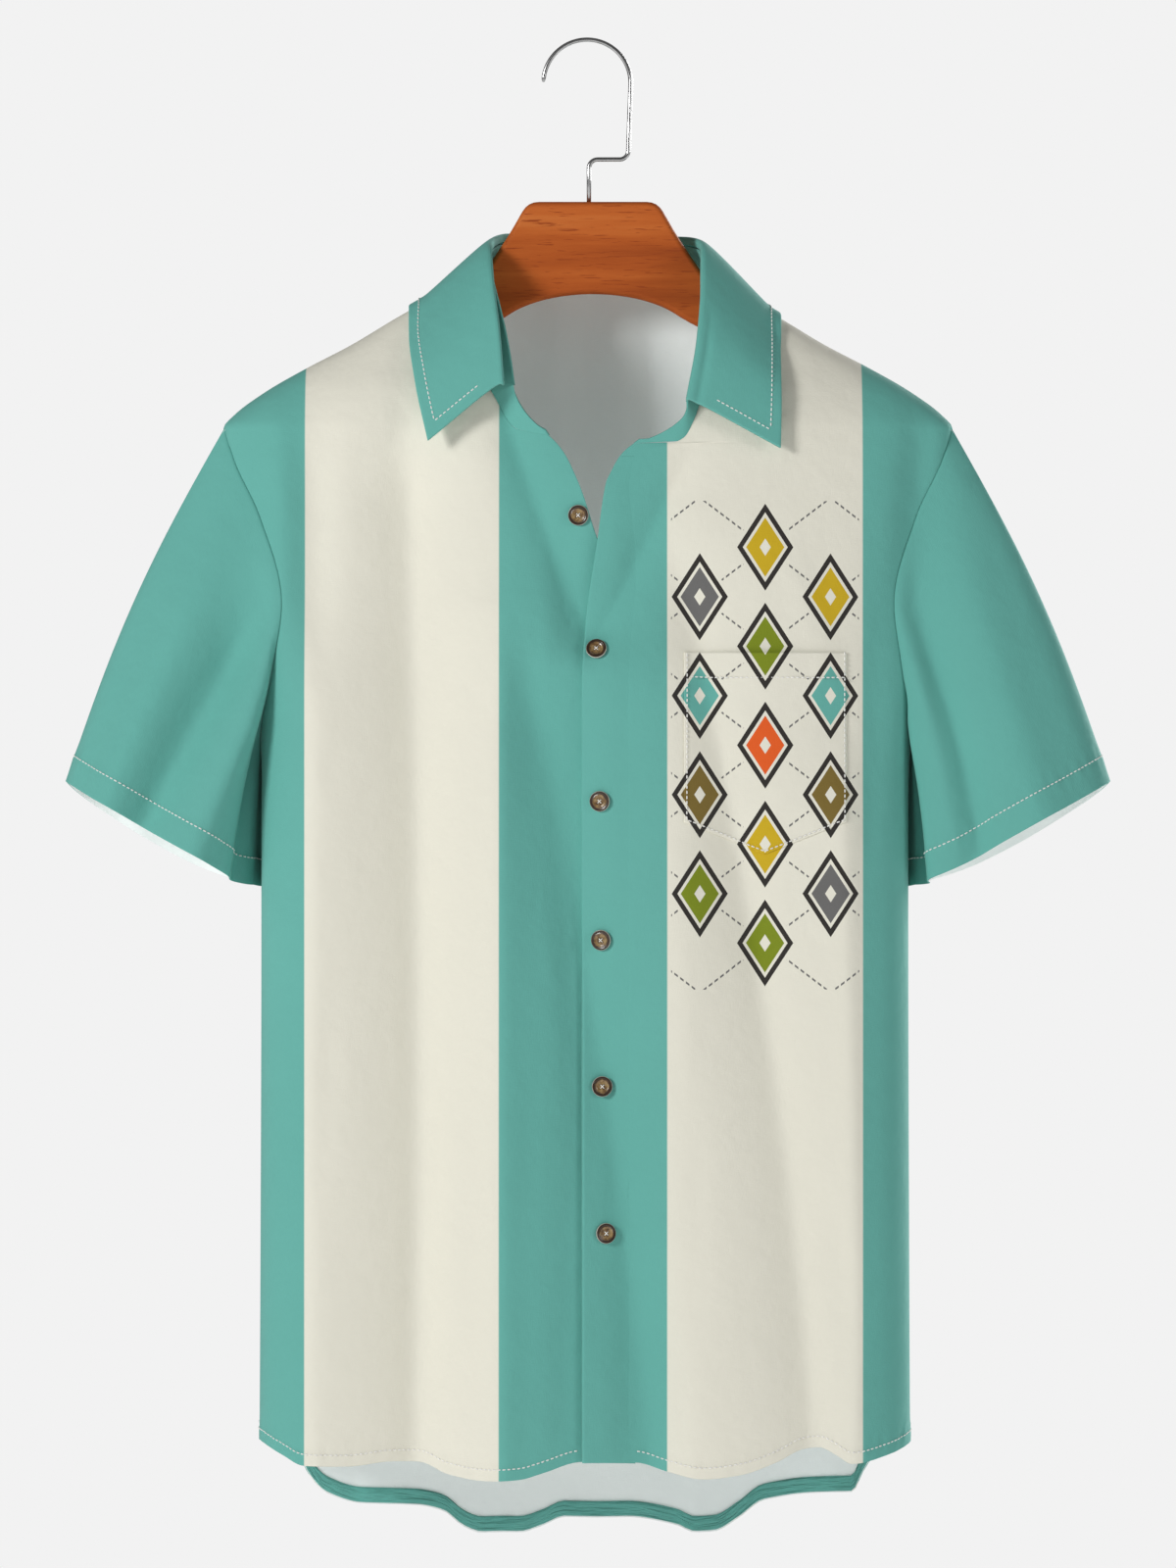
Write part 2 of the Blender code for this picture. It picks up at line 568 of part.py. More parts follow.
def collar_curve(column, place):
    return smooth(COLLAR, column, "place", place)


def roll_line(place):
    return np.stack([collar_curve(c, place) for c in ("roll_x", "roll_y", "roll_z")], -1)


def edge_line(place):
    return np.stack([collar_curve(c, place) for c in ("edge_x", "edge_y", "edge_z")], -1)


def roll_frame(place):
    """Unit vectors square to the roll line: outward over the shoulders, and up over its crest."""
    along = unit(roll_line(place + 0.005) - roll_line(place - 0.005))
    outward = edge_line(place) - roll_line(place)
    outward[..., 2] = 0
    outward = unit(outward - along * np.sum(outward * along, -1, keepdims=True))
    crest = np.cross(along, outward)
    return outward, crest * np.sign(crest @ np.array([0, -0.5, 1.0]))[..., None]


def push_clear(points, margin):
    """Move points that lie inside the shirt, or within `margin` of it, out to that margin."""
    moved = points.copy()
    for index in np.ndindex(points.shape[:-1]):
        x, y, z = points[index]
        low = z - margin
        wide = float(half_width(low))
        if low > NECK_Z or abs(x) >= wide:
            continue
        side = "front" if y < 0 else "back"
        angle = math.asin(x / wide)
        if side == "back":
            angle = math.pi - angle
        surface = torso(np.array(angle), np.array(low))
        need = abs(surface[1]) + margin - abs(y)
        if need <= 0:
            continue
        levels = np.linspace(NECK_Z, TIP_Z, 60)
        ridge = float(np.interp(abs(x), half_width(levels), levels))
        lift = ridge + margin * 1.3 - z
        if 0 < lift < need:
            moved[index][2] += lift
        else:
            moved[index][1] = math.copysign(abs(y) + need, y)
    return moved


def make_stand(left, right, back, teal):
    """The band that stands on the neckline; the panels' neck edges are mitred to it."""
    places = neck_places(left, right, back)
    base = np.array([panel[0][place] for panel, place in places])
    base_in = np.array([panel[1][place] for panel, place in places])
    length = np.concatenate([[0], np.cumsum(np.linalg.norm(np.diff(base, axis=0), axis=1))])
    total = length[-1]
    place = np.clip((length - STAND_TAPER) / (total - 2 * STAND_TAPER), 0, 1)
    roll = roll_line(place)
    away = unit(roll - base)
    shared, step = mitre(base, base_in, away, NECK_MIDDLE)
    for (panel, index), direction in zip(places, shared):
        panel[1][index] = direction
    tall = np.minimum(ease(length, -0.004, STAND_TAPER), ease(total - length, -0.004, STAND_TAPER))
    outward, crest = roll_frame(place)
    top = roll - outward * (ROLL - COLLAR_CLOTH) - crest * (ROLL * 2.2 + SEAM * 3)
    top = base + (top - base) * np.maximum(tall, 0.10)[:, None]
    points = np.array([base + step + (top - base) * share for share in (0.0, 0.33, 0.66, 1.0)])
    inward = grid_inward(points, NECK_MIDDLE - points)
    inward[0] = shared
    wall("collar_stand", points, inward, COLLAR_CLOTH, teal)


def make_collar(teal):
    """The fall: it starts inside the neck, rolls over the stand and lies on the shoulders."""
    place = np.linspace(0, 1, 33)
    roll, edge = roll_line(place), edge_line(place)
    outward, crest = roll_frame(place)
    turn = [(-1.0, -2.2, 1.0, 0.0), (-1.0, -0.7, 0.8, -0.5), (-0.1, 0.0, 0.0, -1.0),
            (0.9, -0.7, -0.8, -0.5), (1.15, -2.2, -1.0, 0.0)]   # steps out, up; then inward
    rows = [roll + outward * ROLL * out + crest * ROLL * up for out, up, _, _ in turn]
    inward = [unit(outward * across + crest * down) for _, _, across, down in turn]
    start = rows[-1]
    for share in (0.25, 0.5, 0.75, 1.0):
        bulge = 0.0035 * math.sin(math.pi * share)
        point = start + (edge - start) * share + (outward * 0.5 + crest * 0.5) * bulge
        rows.append(push_clear(point, 0.0030))
    points = np.array(rows)
    flat_in = grid_inward(points, np.array([0.004, -0.005, -0.26]) - points)
    inward = np.concatenate([np.array(inward), flat_in[len(turn):]])
    wall("collar", points, inward, COLLAR_CLOTH, teal)


# ---------------------------------------------------------------- buttons
def button_mesh():
    """A turned disc with a rounded rim, lying on z = 0 and centred on the axis."""
    profile = [(0.0, BUTTON_THICK * 0.80), (BUTTON_RADIUS * 0.62, BUTTON_THICK * 0.80),
               (BUTTON_RADIUS * 0.80, BUTTON_THICK), (BUTTON_RADIUS * 0.93, BUTTON_THICK * 0.92),
               (BUTTON_RADIUS, BUTTON_THICK * 0.55), (BUTTON_RADIUS * 0.90, 0.0), (0.0, 0.0)]
    shape = bmesh.new()
    previous = None
    for radius, height in profile:
        if radius == 0.0:
            ring = [shape.verts.new((0, 0, height))]
        else:
            turns = [2 * math.pi * k / BUTTON_SIDES for k in range(BUTTON_SIDES)]
            ring = [shape.verts.new((radius * math.cos(t), radius * math.sin(t), height))
                    for t in turns]
        if previous:
            for k in range(BUTTON_SIDES):
                a = [previous[k % len(previous)], previous[(k + 1) % len(previous)]]
                b = [ring[(k + 1) % len(ring)], ring[k % len(ring)]]
                corners = list(dict.fromkeys(a + b))
                shape.faces.new(corners)
        previous = ring
    bmesh.ops.recalc_face_normals(shape, faces=shape.faces)
    bmesh.ops.triangulate(shape, faces=shape.faces)
    mesh = bpy.data.meshes.new("button")
    shape.to_mesh(mesh)
    shape.free()
    mesh.shade_smooth()
    mesh.set_sharp_from_angle(angle=math.radians(40))
    return mesh


def seat(x, z):
    """Middle of a button's seat, its outward direction, and how far the cloth around it rises."""
    turn = np.linspace(0, 2 * math.pi, 24, endpoint=False)
    rim_z = z + BUTTON_REACH * np.sin(turn)
    rim_angle = angle_at(x + BUTTON_REACH * np.cos(turn), rim_z)
    outward = torso_normal(rim_angle, rim_z).mean(axis=0)
    outward = outward / np.linalg.norm(outward)
    middle = torso(np.array(angle_at(x, z)), np.array(z))
    return middle, outward, max(0.0, float(((torso(rim_angle, rim_z) - middle) @ outward).max()))


def make_buttons(placket_height, horn):
    mesh = button_mesh()
    mesh.materials.append(horn)
    for number, button in enumerate(BUTTONS, 1):
        middle, outward, rise = seat(button.x, button.z)
        lift = BUTTON_GAP + rise + (placket_height if button.panel == "left" else 0.0)
        if button.panel == "right":
            lift = lift - tuck(np.array(angle_at(button.x, button.z)), np.array(button.z))
        place = middle + outward * lift
        turn = Vector(outward).to_track_quat("Z", "Y").to_matrix().to_4x4()
        thing = bpy.data.objects.new(f"button_{number}", mesh)
        thing.matrix_world = Matrix.Translation(Vector(place)) @ turn
        bpy.context.collection.objects.link(thing)


# ---------------------------------------------------------------- hanger
def arm_top(x):
    """Height of a hanger arm's upper edge under the cloth's shoulder ridge."""
    levels = np.linspace(NECK_Z, TIP_Z, 60)
    ridge = float(np.interp(abs(x), half_width(levels), levels))
    near_neck = 1 - ease(abs(x), 0.085, 0.130)
    return ridge - (CLOTH + 0.0009) * 1.17 - 0.0030 * near_neck


def make_hanger(wood, wire_bottom):
    """A flat wooden hanger: a block that shows in the neck, and an arm into each shoulder."""
    half_block = [(0.041, -0.1011), (0.053, -0.1221), (0.066, -0.1415), (0.0745, -0.1530)]
    arm_x = np.linspace(0.082, HANGER_REACH, 8)
    tip_z = arm_top(HANGER_REACH)
    halves = []
    for side in (-1, 1):
        half = [(HANGER_X + side * x, z) for x, z in half_block]
        half += [(side * x, arm_top(x)) for x in arm_x]
        half += [(side * (HANGER_REACH + 0.002), tip_z - 0.007),
                 (side * (HANGER_REACH - 0.003), tip_z - 0.014)]
        half += [(side * 0.150, arm_top(0.150) - 0.020), (side * 0.095, arm_top(0.095) - 0.024)]
        halves.append(half)
    arch = [(HANGER_X + 0.0650 * math.sin(t), -0.1900 + 0.0307 * math.cos(t))
            for t in np.linspace(-1.05, 1.05, 13)]
    loop = halves[0] + arch + halves[1][::-1]
    shape = bmesh.new()
    verts = [shape.verts.new((x, -HANGER_HALF_THICK, z)) for x, z in loop]
    face = shape.faces.new(verts)
    made = bmesh.ops.extrude_face_region(shape, geom=[face])
    moved = [v for v in made["geom"] if isinstance(v, bmesh.types.BMVert)]
    bmesh.ops.translate(shape, vec=(0, 2 * HANGER_HALF_THICK, 0), verts=moved)
    bmesh.ops.recalc_face_normals(shape, faces=shape.faces)
    mesh = bpy.data.meshes.new("hanger")
    shape.to_mesh(mesh)
    shape.free()
    hanger = add_object("hanger", mesh, wood)
    bevel = hanger.modifiers.new("worn edges", "BEVEL")
    bevel.width = 0.0022
    bevel.segments = 2
    bevel.limit_method = "ANGLE"
    bevel.angle_limit = math.radians(60)
    bpy.ops.mesh.primitive_cylinder_add(vertices=16, radius=WIRE_RADIUS + SEAM, depth=0.060,
                                        location=(0.0006, 0, wire_bottom - SEAM + 0.030))
    cutter = bpy.context.object
    cutter.name = "stem_bore_cutter"
    cutter.hide_render = True
    cutter.display_type = "WIRE"
    bore = hanger.modifiers.new("stem bore", "BOOLEAN")
    bore.operation = "DIFFERENCE"
    bore.solver = "EXACT"
    bore.object = cutter
    return hanger


def arc(centre, radius, start, end, steps):
    """Points on an arc in the XZ plane; angles in degrees from +X towards +Z."""
    turn = np.radians(np.linspace(start, end, steps))
    return [(centre[0] + radius * math.cos(t), centre[1] + radius * math.sin(t)) for t in turn]


def make_hook(steel, bottom):
    """The wire hook: a round bend over the rail, a long side, a jog and the stem."""
    bend = 0.0276
    middle = (-0.0006, WIRE_RADIUS - bend)
    stem_x, jog_z, corner = 0.0006, -0.0742, 0.0055
    side_x = middle[0] + bend
    path = arc(middle, bend, 180, 0, 21)
    path += arc((side_x - corner, jog_z + corner), corner, 0, -90, 5)
    path += arc((stem_x + corner, jog_z - corner), corner, 90, 180, 5)
    path += [(stem_x, jog_z - 2 * corner), (stem_x, bottom)]
    curve = bpy.data.curves.new("hook", "CURVE")
    curve.dimensions = "3D"
    curve.bevel_depth = WIRE_RADIUS
    curve.bevel_resolution = 2
    curve.use_fill_caps = True
    spline = curve.splines.new("POLY")
    spline.points.add(len(path) - 1)
    for point, (x, z) in zip(spline.points, path):
        point.co = (x, 0.0, z, 1.0)
    add_object("hook", curve, steel)


# ---------------------------------------------------------------- the whole part
def main():
    for thing in list(bpy.data.objects):
        bpy.data.objects.remove(thing)
    teal = material("teal_cloth", TEAL, 0.8)
    cream = material("cream_cloth", CREAM, 0.8)
    wood = material("stained_wood", WOOD, 0.4)
    horn = material("horn_button", HORN, 0.25)
    steel = material("bright_wire", STEEL, 0.25, metallic=1.0)
    left, right, back = left_front(), right_front(), back_panel()
    make_sleeve("sleeve_left", left, back, 1, teal)
    make_sleeve("sleeve_right", right, back, -1, teal)
    make_stand(left, right, back, teal)
    wall("front_left", *left, CLOTH, teal)
    wall("front_right", *right, CLOTH, teal)
    wall("back", *back, CLOTH, teal)
    make_back_hem(back, teal)
    placket_height = make_placket(left, teal)
    make_pocket(left, cream)
    make_collar(teal)
    make_buttons(placket_height, horn)
    stem_bottom = -0.1250
    make_hanger(wood, stem_bottom)
    make_hook(steel, stem_bottom)


main()
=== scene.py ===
"""How to dress a bowling shirt on its hanger: cloth, print, sewing, buttons, wood and wire."""
# %% [markdown]
# # A bowling shirt on a wooden hanger
#
# A shirt on a hanger is a thin skin that hangs from one line, the shoulders. Everything that
# makes it read as cloth comes after that line is right: the long soft folds that fall from the
# shoulder and the chest, the turned hems, the rows of stitches a few millimetres inside every
# edge, and a collar that rolls over its stand. The frame that is loaded here is the solid model
# of the same shirt. It fixes every size, and the pieces below are the skin that is seen.

# %% Load the solid model
import math

import bpy
import numpy as np
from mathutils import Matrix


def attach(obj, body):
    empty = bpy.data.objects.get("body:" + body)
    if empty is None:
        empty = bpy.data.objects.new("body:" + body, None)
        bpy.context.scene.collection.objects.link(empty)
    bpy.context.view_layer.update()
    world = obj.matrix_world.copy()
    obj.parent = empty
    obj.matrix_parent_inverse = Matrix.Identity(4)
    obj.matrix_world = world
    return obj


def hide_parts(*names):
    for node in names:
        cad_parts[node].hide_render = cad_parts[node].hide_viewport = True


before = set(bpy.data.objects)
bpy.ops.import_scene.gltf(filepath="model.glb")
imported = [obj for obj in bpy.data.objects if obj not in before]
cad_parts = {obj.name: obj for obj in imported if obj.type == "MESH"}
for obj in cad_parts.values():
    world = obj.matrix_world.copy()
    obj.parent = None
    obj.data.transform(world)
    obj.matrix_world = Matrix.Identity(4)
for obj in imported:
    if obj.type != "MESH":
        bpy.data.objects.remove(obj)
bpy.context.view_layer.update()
print("solid pieces:", ", ".join(sorted(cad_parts)))

# %% [markdown]
# ## Camera, backdrop and light
#
# The shirt is looked at straight from the front and from far away, so that its edges keep their
# true proportions: five metres, with a lens long enough for one metre to fill the frame. Cloth
# shows its folds only when the light comes from one side. A soft lamp high on the left models
# them, a weaker one on the right and a pale world fill their shadows, as the white walls of a
# studio do, and a pale floor throws some light up into the hem and the sleeves.

# %% Camera
scene = bpy.context.scene
DISTANCE, FRAME_HEIGHT, EYE_LEVEL = 5.0, 0.992, -0.4693
camera_data = bpy.data.cameras.new("camera")
camera_data.sensor_fit = "VERTICAL"
camera_data.sensor_height = 36.0
camera_data.lens = camera_data.sensor_height * DISTANCE / FRAME_HEIGHT
camera = bpy.data.objects.new("camera", camera_data)
camera.location = (0.0, -DISTANCE, EYE_LEVEL)
camera.rotation_euler = (math.pi / 2, 0.0, 0.0)
scene.collection.objects.link(camera)
scene.camera = camera
scene.view_settings.view_transform = "Standard"
print(f"lens {camera_data.lens:.1f} mm at {DISTANCE} m")

# %% Lamps, world and floor
LAMPS = {   # place; side in metres; power in watts
    "key lamp": ((-2.95, -2.79, 0.7), 1.0, 102.0),
    "side lamp": ((3.4, -2.0, 0.3), 1.5, 32.0),
    "back lamp": ((2.2, 3.0, 0.8), 1.6, 120.0)}
SHIRT_MIDDLE = (0.0, 0.0, -0.5)
WORLD_LIGHT, WORLD_SEEN = 0.12, 0.888    # strength on the shirt and where it is looked at

for name, (place, size, power) in LAMPS.items():
    data = bpy.data.lights.new(name, "AREA")
    data.size, data.energy = size, power
    thing = bpy.data.objects.new(name, data)
    away = np.array(place) - SHIRT_MIDDLE
    thing.location = place
    thing.rotation_euler = (math.acos(away[2] / np.linalg.norm(away)), 0.0,
                            math.atan2(away[1], away[0]) + math.pi / 2)
    scene.collection.objects.link(thing)

world = bpy.data.worlds.new("white room")
world.use_nodes = True
background = world.node_tree.nodes["Background"]
background.inputs["Color"].default_value = (1.0, 1.0, 1.0, 1.0)
seen = world.node_tree.nodes.new("ShaderNodeLightPath")
strength = world.node_tree.nodes.new("ShaderNodeMapRange")
strength.inputs["To Min"].default_value = WORLD_LIGHT
strength.inputs["To Max"].default_value = WORLD_SEEN
world.node_tree.links.new(seen.outputs["Is Camera Ray"], strength.inputs["Value"])
world.node_tree.links.new(strength.outputs["Result"], background.inputs["Strength"])
scene.world = world

FLOOR_Z, FLOOR_HALF, FLOOR_BACK = -1.6, 14.0, 6.0    # its far edge lies just below the frame
floor_mesh = bpy.data.meshes.new("floor")
floor_mesh.from_pydata([(-FLOOR_HALF, -FLOOR_HALF, FLOOR_Z), (FLOOR_HALF, -FLOOR_HALF, FLOOR_Z),
                        (FLOOR_HALF, FLOOR_BACK, FLOOR_Z), (-FLOOR_HALF, FLOOR_BACK, FLOOR_Z)],
                       [], [(0, 1, 2, 3)])
floor = bpy.data.objects.new("floor", floor_mesh)
scene.collection.objects.link(floor)

# %% [markdown]
# ## Writing materials as sums
#
# A material is a small calculation at each point of the surface. Placed by hand, each + and x
# is one more box and two more wires. A class that stands for a socket and overloads Python's
# operators lets the same calculation be read as a formula, and one method makes every other
# kind of node. Colours and vectors have three numbers, so they go through Mix and Vector Math.

# %% A socket that can be added and multiplied
class Socket:
    """A node's output, or a constant, in arithmetic: each operator adds one Math node."""

    def __init__(self, tree, output):
        self.tree, self.output = tree, output

    def node(self, kind, settings=None, inputs=None, output=0):
        """Add a node: its settings are set first, then the values or links of its sockets."""
        made = self.tree.nodes.new(kind)
        for name, value in (settings or {}).items():
            if name == "stops":
                ramp = made.color_ramp
                while len(ramp.elements) < len(value):
                    ramp.elements.new(1.0)
                for element, (place, colour) in zip(ramp.elements, value):
                    element.position, element.color = place, (*colour, 1.0)
            elif name == "interpolation":
                made.color_ramp.interpolation = value
            else:
                setattr(made, name, value)
        for name, value in (inputs or {}).items():
            if isinstance(value, Socket):
                self.tree.links.new(value.output, made.inputs[name])
            elif value is not None:
                made.inputs[name].default_value = value
        return Socket(self.tree, made.outputs[output])

    def math(self, operation, *values):
        return self.node("ShaderNodeMath", {"operation": operation}, dict(enumerate(values)))

    def __add__(self, other):
        return self.math("ADD", self, other)

    def __sub__(self, other):
        return self.math("SUBTRACT", self, other)

    def __mul__(self, other):
        return self.math("MULTIPLY", self, other)

    def __truediv__(self, other):
        return self.math("DIVIDE", self, other)

    def __lt__(self, other):
        return self.math("LESS_THAN", self, other)

    def __gt__(self, other):
        return self.math("GREATER_THAN", self, other)

    __radd__ = __add__

    def floor(self):
        return self.math("FLOOR", self)

    def abs(self):
        return self.math("ABSOLUTE", self)

    def between(self, low, high, soft):
        """1 between low and high and 0 outside, with borders `soft` wide."""
        rise = self.node("ShaderNodeMapRange", {}, {0: self, 1: low - soft, 2: low + soft})
        fall = self.node("ShaderNodeMapRange", {}, {0: self, 1: high - soft, 2: high + soft})
        return rise - fall

    def mix(self, first, second):
        """Colour `first` where this value is 0, `second` where it is 1."""
        colours = [c if isinstance(c, Socket) else (*c, 1.0) for c in (first, second)]
        return self.node("ShaderNodeMix", {"data_type": "RGBA"},
                         {0: self, 6: colours[0], 7: colours[1]}, output=2)

    def noise(self, scale, detail=2.0, rough=0.5):
        """Smooth noise around 0.5, read at this place; scale is in cycles a metre."""
        return self.node("ShaderNodeTexNoise", {},
                         {"Vector": self, "Scale": scale, "Detail": detail, "Roughness": rough})

    def stretch(self, *factors):
        """This place with each axis multiplied by its factor."""
        return self.node("ShaderNodeVectorMath", {"operation": "MULTIPLY"}, {0: self, 1: factors})

    def axes(self):
        split = self.node("ShaderNodeSeparateXYZ", {}, {0: self})
        return [Socket(self.tree, out) for out in split.output.node.outputs]


class Finish:
    """A Principled material whose constants are set on the shader's own sockets."""

    def __init__(self, title, **constants):
        self.material = bpy.data.materials.new(title)
        self.material.use_nodes = True
        self.tree = self.material.node_tree
        self.shader = self.tree.nodes["Principled BSDF"]
        for name, value in constants.items():
            socket = name.replace("_", " ").title().replace("Ior", "IOR")
            self.shader.inputs[socket].default_value = value
        place = self.tree.nodes.new("ShaderNodeTexCoord")
        self.place = Socket(self.tree, place.outputs["Object"])
        self.uv = Socket(self.tree, place.outputs["UV"])

    def feed(self, socket, value):
        self.tree.links.new(value.output, self.shader.inputs[socket])

    def bump(self, height, distance):
        """Raise the surface by height x distance metres, in its shading alone."""
        self.feed("Normal", height.node("ShaderNodeBump", {}, {"Height": height,
                                                              "Distance": distance}))


pale_floor = Finish("pale floor", base_color=(0.86, 0.86, 0.86, 1.0), roughness=0.9,
                    specular_ior_level=0.1, emission_color=(1.0, 1.0, 1.0, 1.0),
                    emission_strength=0.3)
floor.data.materials.append(pale_floor.material)
print("a Socket adds Math nodes, a Finish is a material")

# %% [markdown]
# ## The shirt's body as one surface
#
# A tailor drafts a shirt as flat panels, but once it hangs, the fronts and the back are
# stretches of one tube that is wide at the armpits and flat from front to back. Here that tube
# is a function: at each height a level section, with the angle running from the centre front
# round the side seam to the centre back. The sizes are read from short tables through smooth
# curves, so the cloth has no corners where a row of the table happens to lie.

# %% Smooth curves through short tables
def through(*rows):
    """Monotone cubic curves through rows (key, value, ...), as a function of the key."""
    rows = np.array(sorted(rows), float)
    key, value = rows[:, 0], rows[:, 1:]
    slope = np.diff(value, axis=0) / np.diff(key)[:, None]
    both = slope[:-1] + slope[1:]
    rising = slope[:-1] * slope[1:] > 0
    tangent = np.zeros_like(value)
    tangent[1:-1] = np.where(rising, 2 * slope[:-1] * slope[1:] / np.where(rising, both, 1), 0)
    tangent[0], tangent[-1] = slope[0], slope[-1]

    def at(place):
        place = np.clip(np.asarray(place, float), key[0], key[-1])
        i = np.clip(np.searchsorted(key, place) - 1, 0, len(key) - 2)
        step = (key[i + 1] - key[i])[..., None]
        t = (place - key[i])[..., None] / step
        return np.moveaxis((1 + 2 * t) * (1 - t) ** 2 * value[i]
                           + t * (1 - t) ** 2 * step * tangent[i]
                           + t * t * (3 - 2 * t) * value[i + 1]
                           + t * t * (t - 1) * step * tangent[i + 1], -1, 0)
    return at


def ease(value, start, end):
    """0 before start, 1 after end, and a smooth step between them."""
    t = np.clip((value - start) / (end - start), 0.0, 1.0)
    return t * t * (3 - 2 * t)


def unit(vectors):
    return vectors / np.linalg.norm(vectors, axis=-1, keepdims=True)


# %% Sizes of the shirt, in metres
CLOTH = 0.0009            # one layer of cloth
SECTION_POWER = 0.7       # squareness of the level sections, 1 is an ellipse
NECK_Z, TIP_Z, ARMPIT_Z = -0.15, -0.2445, -0.4445
NECK_SEAM_Y, TIP_SEAM_Y = 0.003, 0.009        # shoulder seam, forward of the ridge
PLACKET_WIDTH = 0.0335
POCKET_LEFT, POCKET_RIGHT = 0.06, 0.162
POCKET_TOP, POCKET_SIDE, POCKET_POINT = -0.387, -0.493, -0.5134
LAYER_GAP = 0.0006        # under a piece that lies on a panel
CORNER_LEFT, CORNER_RIGHT = -0.256, -0.2509   # where each neckline turns into the opening
STRIPES = (-0.1779, -0.0558, 0.0496, 0.1724)  # borders of the two cream stripes

# height: half width, depth of the front, depth of the back
section = through(
    (-0.15, 0.078, 0.014, 0.05), (-0.1755, 0.1228, 0.027, 0.05), (-0.1916, 0.1495, 0.033, 0.05),
    (-0.2065, 0.178, 0.0375, 0.0505), (-0.2213, 0.2037, 0.043, 0.051),
    (-0.2362, 0.2238, 0.0475, 0.0515), (-0.2445, 0.2305, 0.0495, 0.052),
    (-0.265, 0.2295, 0.053, 0.053), (-0.3, 0.223, 0.056, 0.0545), (-0.34, 0.217, 0.0575, 0.0555),
    (-0.4, 0.21, 0.059, 0.057), (-0.4445, 0.2055, 0.06, 0.058), (-0.47, 0.2045, 0.06, 0.058),
    (-0.56, 0.2045, 0.06, 0.058), (-0.75, 0.205, 0.061, 0.06), (-0.95, 0.206, 0.064, 0.063))
# height: half the armhole's opening, front to back
armhole = through(
    (-0.2445, 0.009), (-0.262, 0.018), (-0.3, 0.028), (-0.35, 0.033), (-0.4, 0.027),
    (-0.43, 0.015), (-0.4445, 0.003))
# height: x of each front's neckline and then of its opening edge
left_edge = through(
    (-0.15, 0.078), (-0.175, 0.0795), (-0.205, 0.0765), (-0.2368, 0.0681), (-0.2445, 0.0648),
    (-0.2509, 0.0614), (-0.2555, 0.0532), (-0.256, 0.0286), (-0.276, 0.0132), (-0.281, 0.0111),
    (-0.3147, 0.0061), (-0.3701, -0.0016), (-0.4073, -0.0037), (-0.95, -0.0037))
right_edge = through(
    (-0.15, -0.078), (-0.175, -0.0765), (-0.205, -0.069), (-0.2325, -0.0552), (-0.2411, -0.0503),
    (-0.2461, -0.0454), (-0.2497, -0.0307), (-0.2509, -0.0245), (-0.2773, -0.0073),
    (-0.3147, 0.0055), (-0.34, 0.016), (-0.3701, 0.0223), (-0.95, 0.0223))
# x: height of each hem
front_hem = through(
    (-0.206, -0.883), (-0.1905, -0.891), (-0.178, -0.8965), (-0.15, -0.897), (-0.124, -0.8945),
    (-0.105, -0.895), (-0.087, -0.902), (-0.065, -0.905), (-0.043, -0.904), (-0.028, -0.9),
    (-0.004, -0.8935), (0.0298, -0.8945), (0.0495, -0.9), (0.072, -0.9045), (0.095, -0.902),
    (0.1175, -0.8945), (0.135, -0.8865), (0.145, -0.8855), (0.156, -0.8905), (0.165, -0.8955),
    (0.19, -0.89), (0.206, -0.883))
back_hem_line = through(
    (-0.206, -0.883), (-0.186, -0.8935), (-0.1775, -0.91), (-0.167, -0.9215), (-0.145, -0.929),
    (-0.11, -0.93), (-0.093, -0.934), (-0.079, -0.945), (-0.068, -0.949), (-0.044, -0.949),
    (-0.028, -0.944), (-0.015, -0.9385), (0.024, -0.9385), (0.056, -0.944), (0.068, -0.949),
    (0.081, -0.948), (0.096, -0.939), (0.112, -0.927), (0.137, -0.9225), (0.1685, -0.921),
    (0.175, -0.908), (0.185, -0.8935), (0.206, -0.883))

# %% [markdown]
# ## Folds
#
# A hanging shirt folds where it has cloth to spare: below the chest on the front, between the
# shoulder blades on the back. Each fold is a line that starts at one point, ends at another and
# is a soft ridge or trough across. The first table holds the large ones, which the solid model
# has too. The second holds the smaller creases that lie between them: short, uneven in length,
# depth and spacing, and in places branching, because evenly spaced ripples read as corrugated
# iron. A cloth simulation could find such folds by itself, but not these ones in these places.

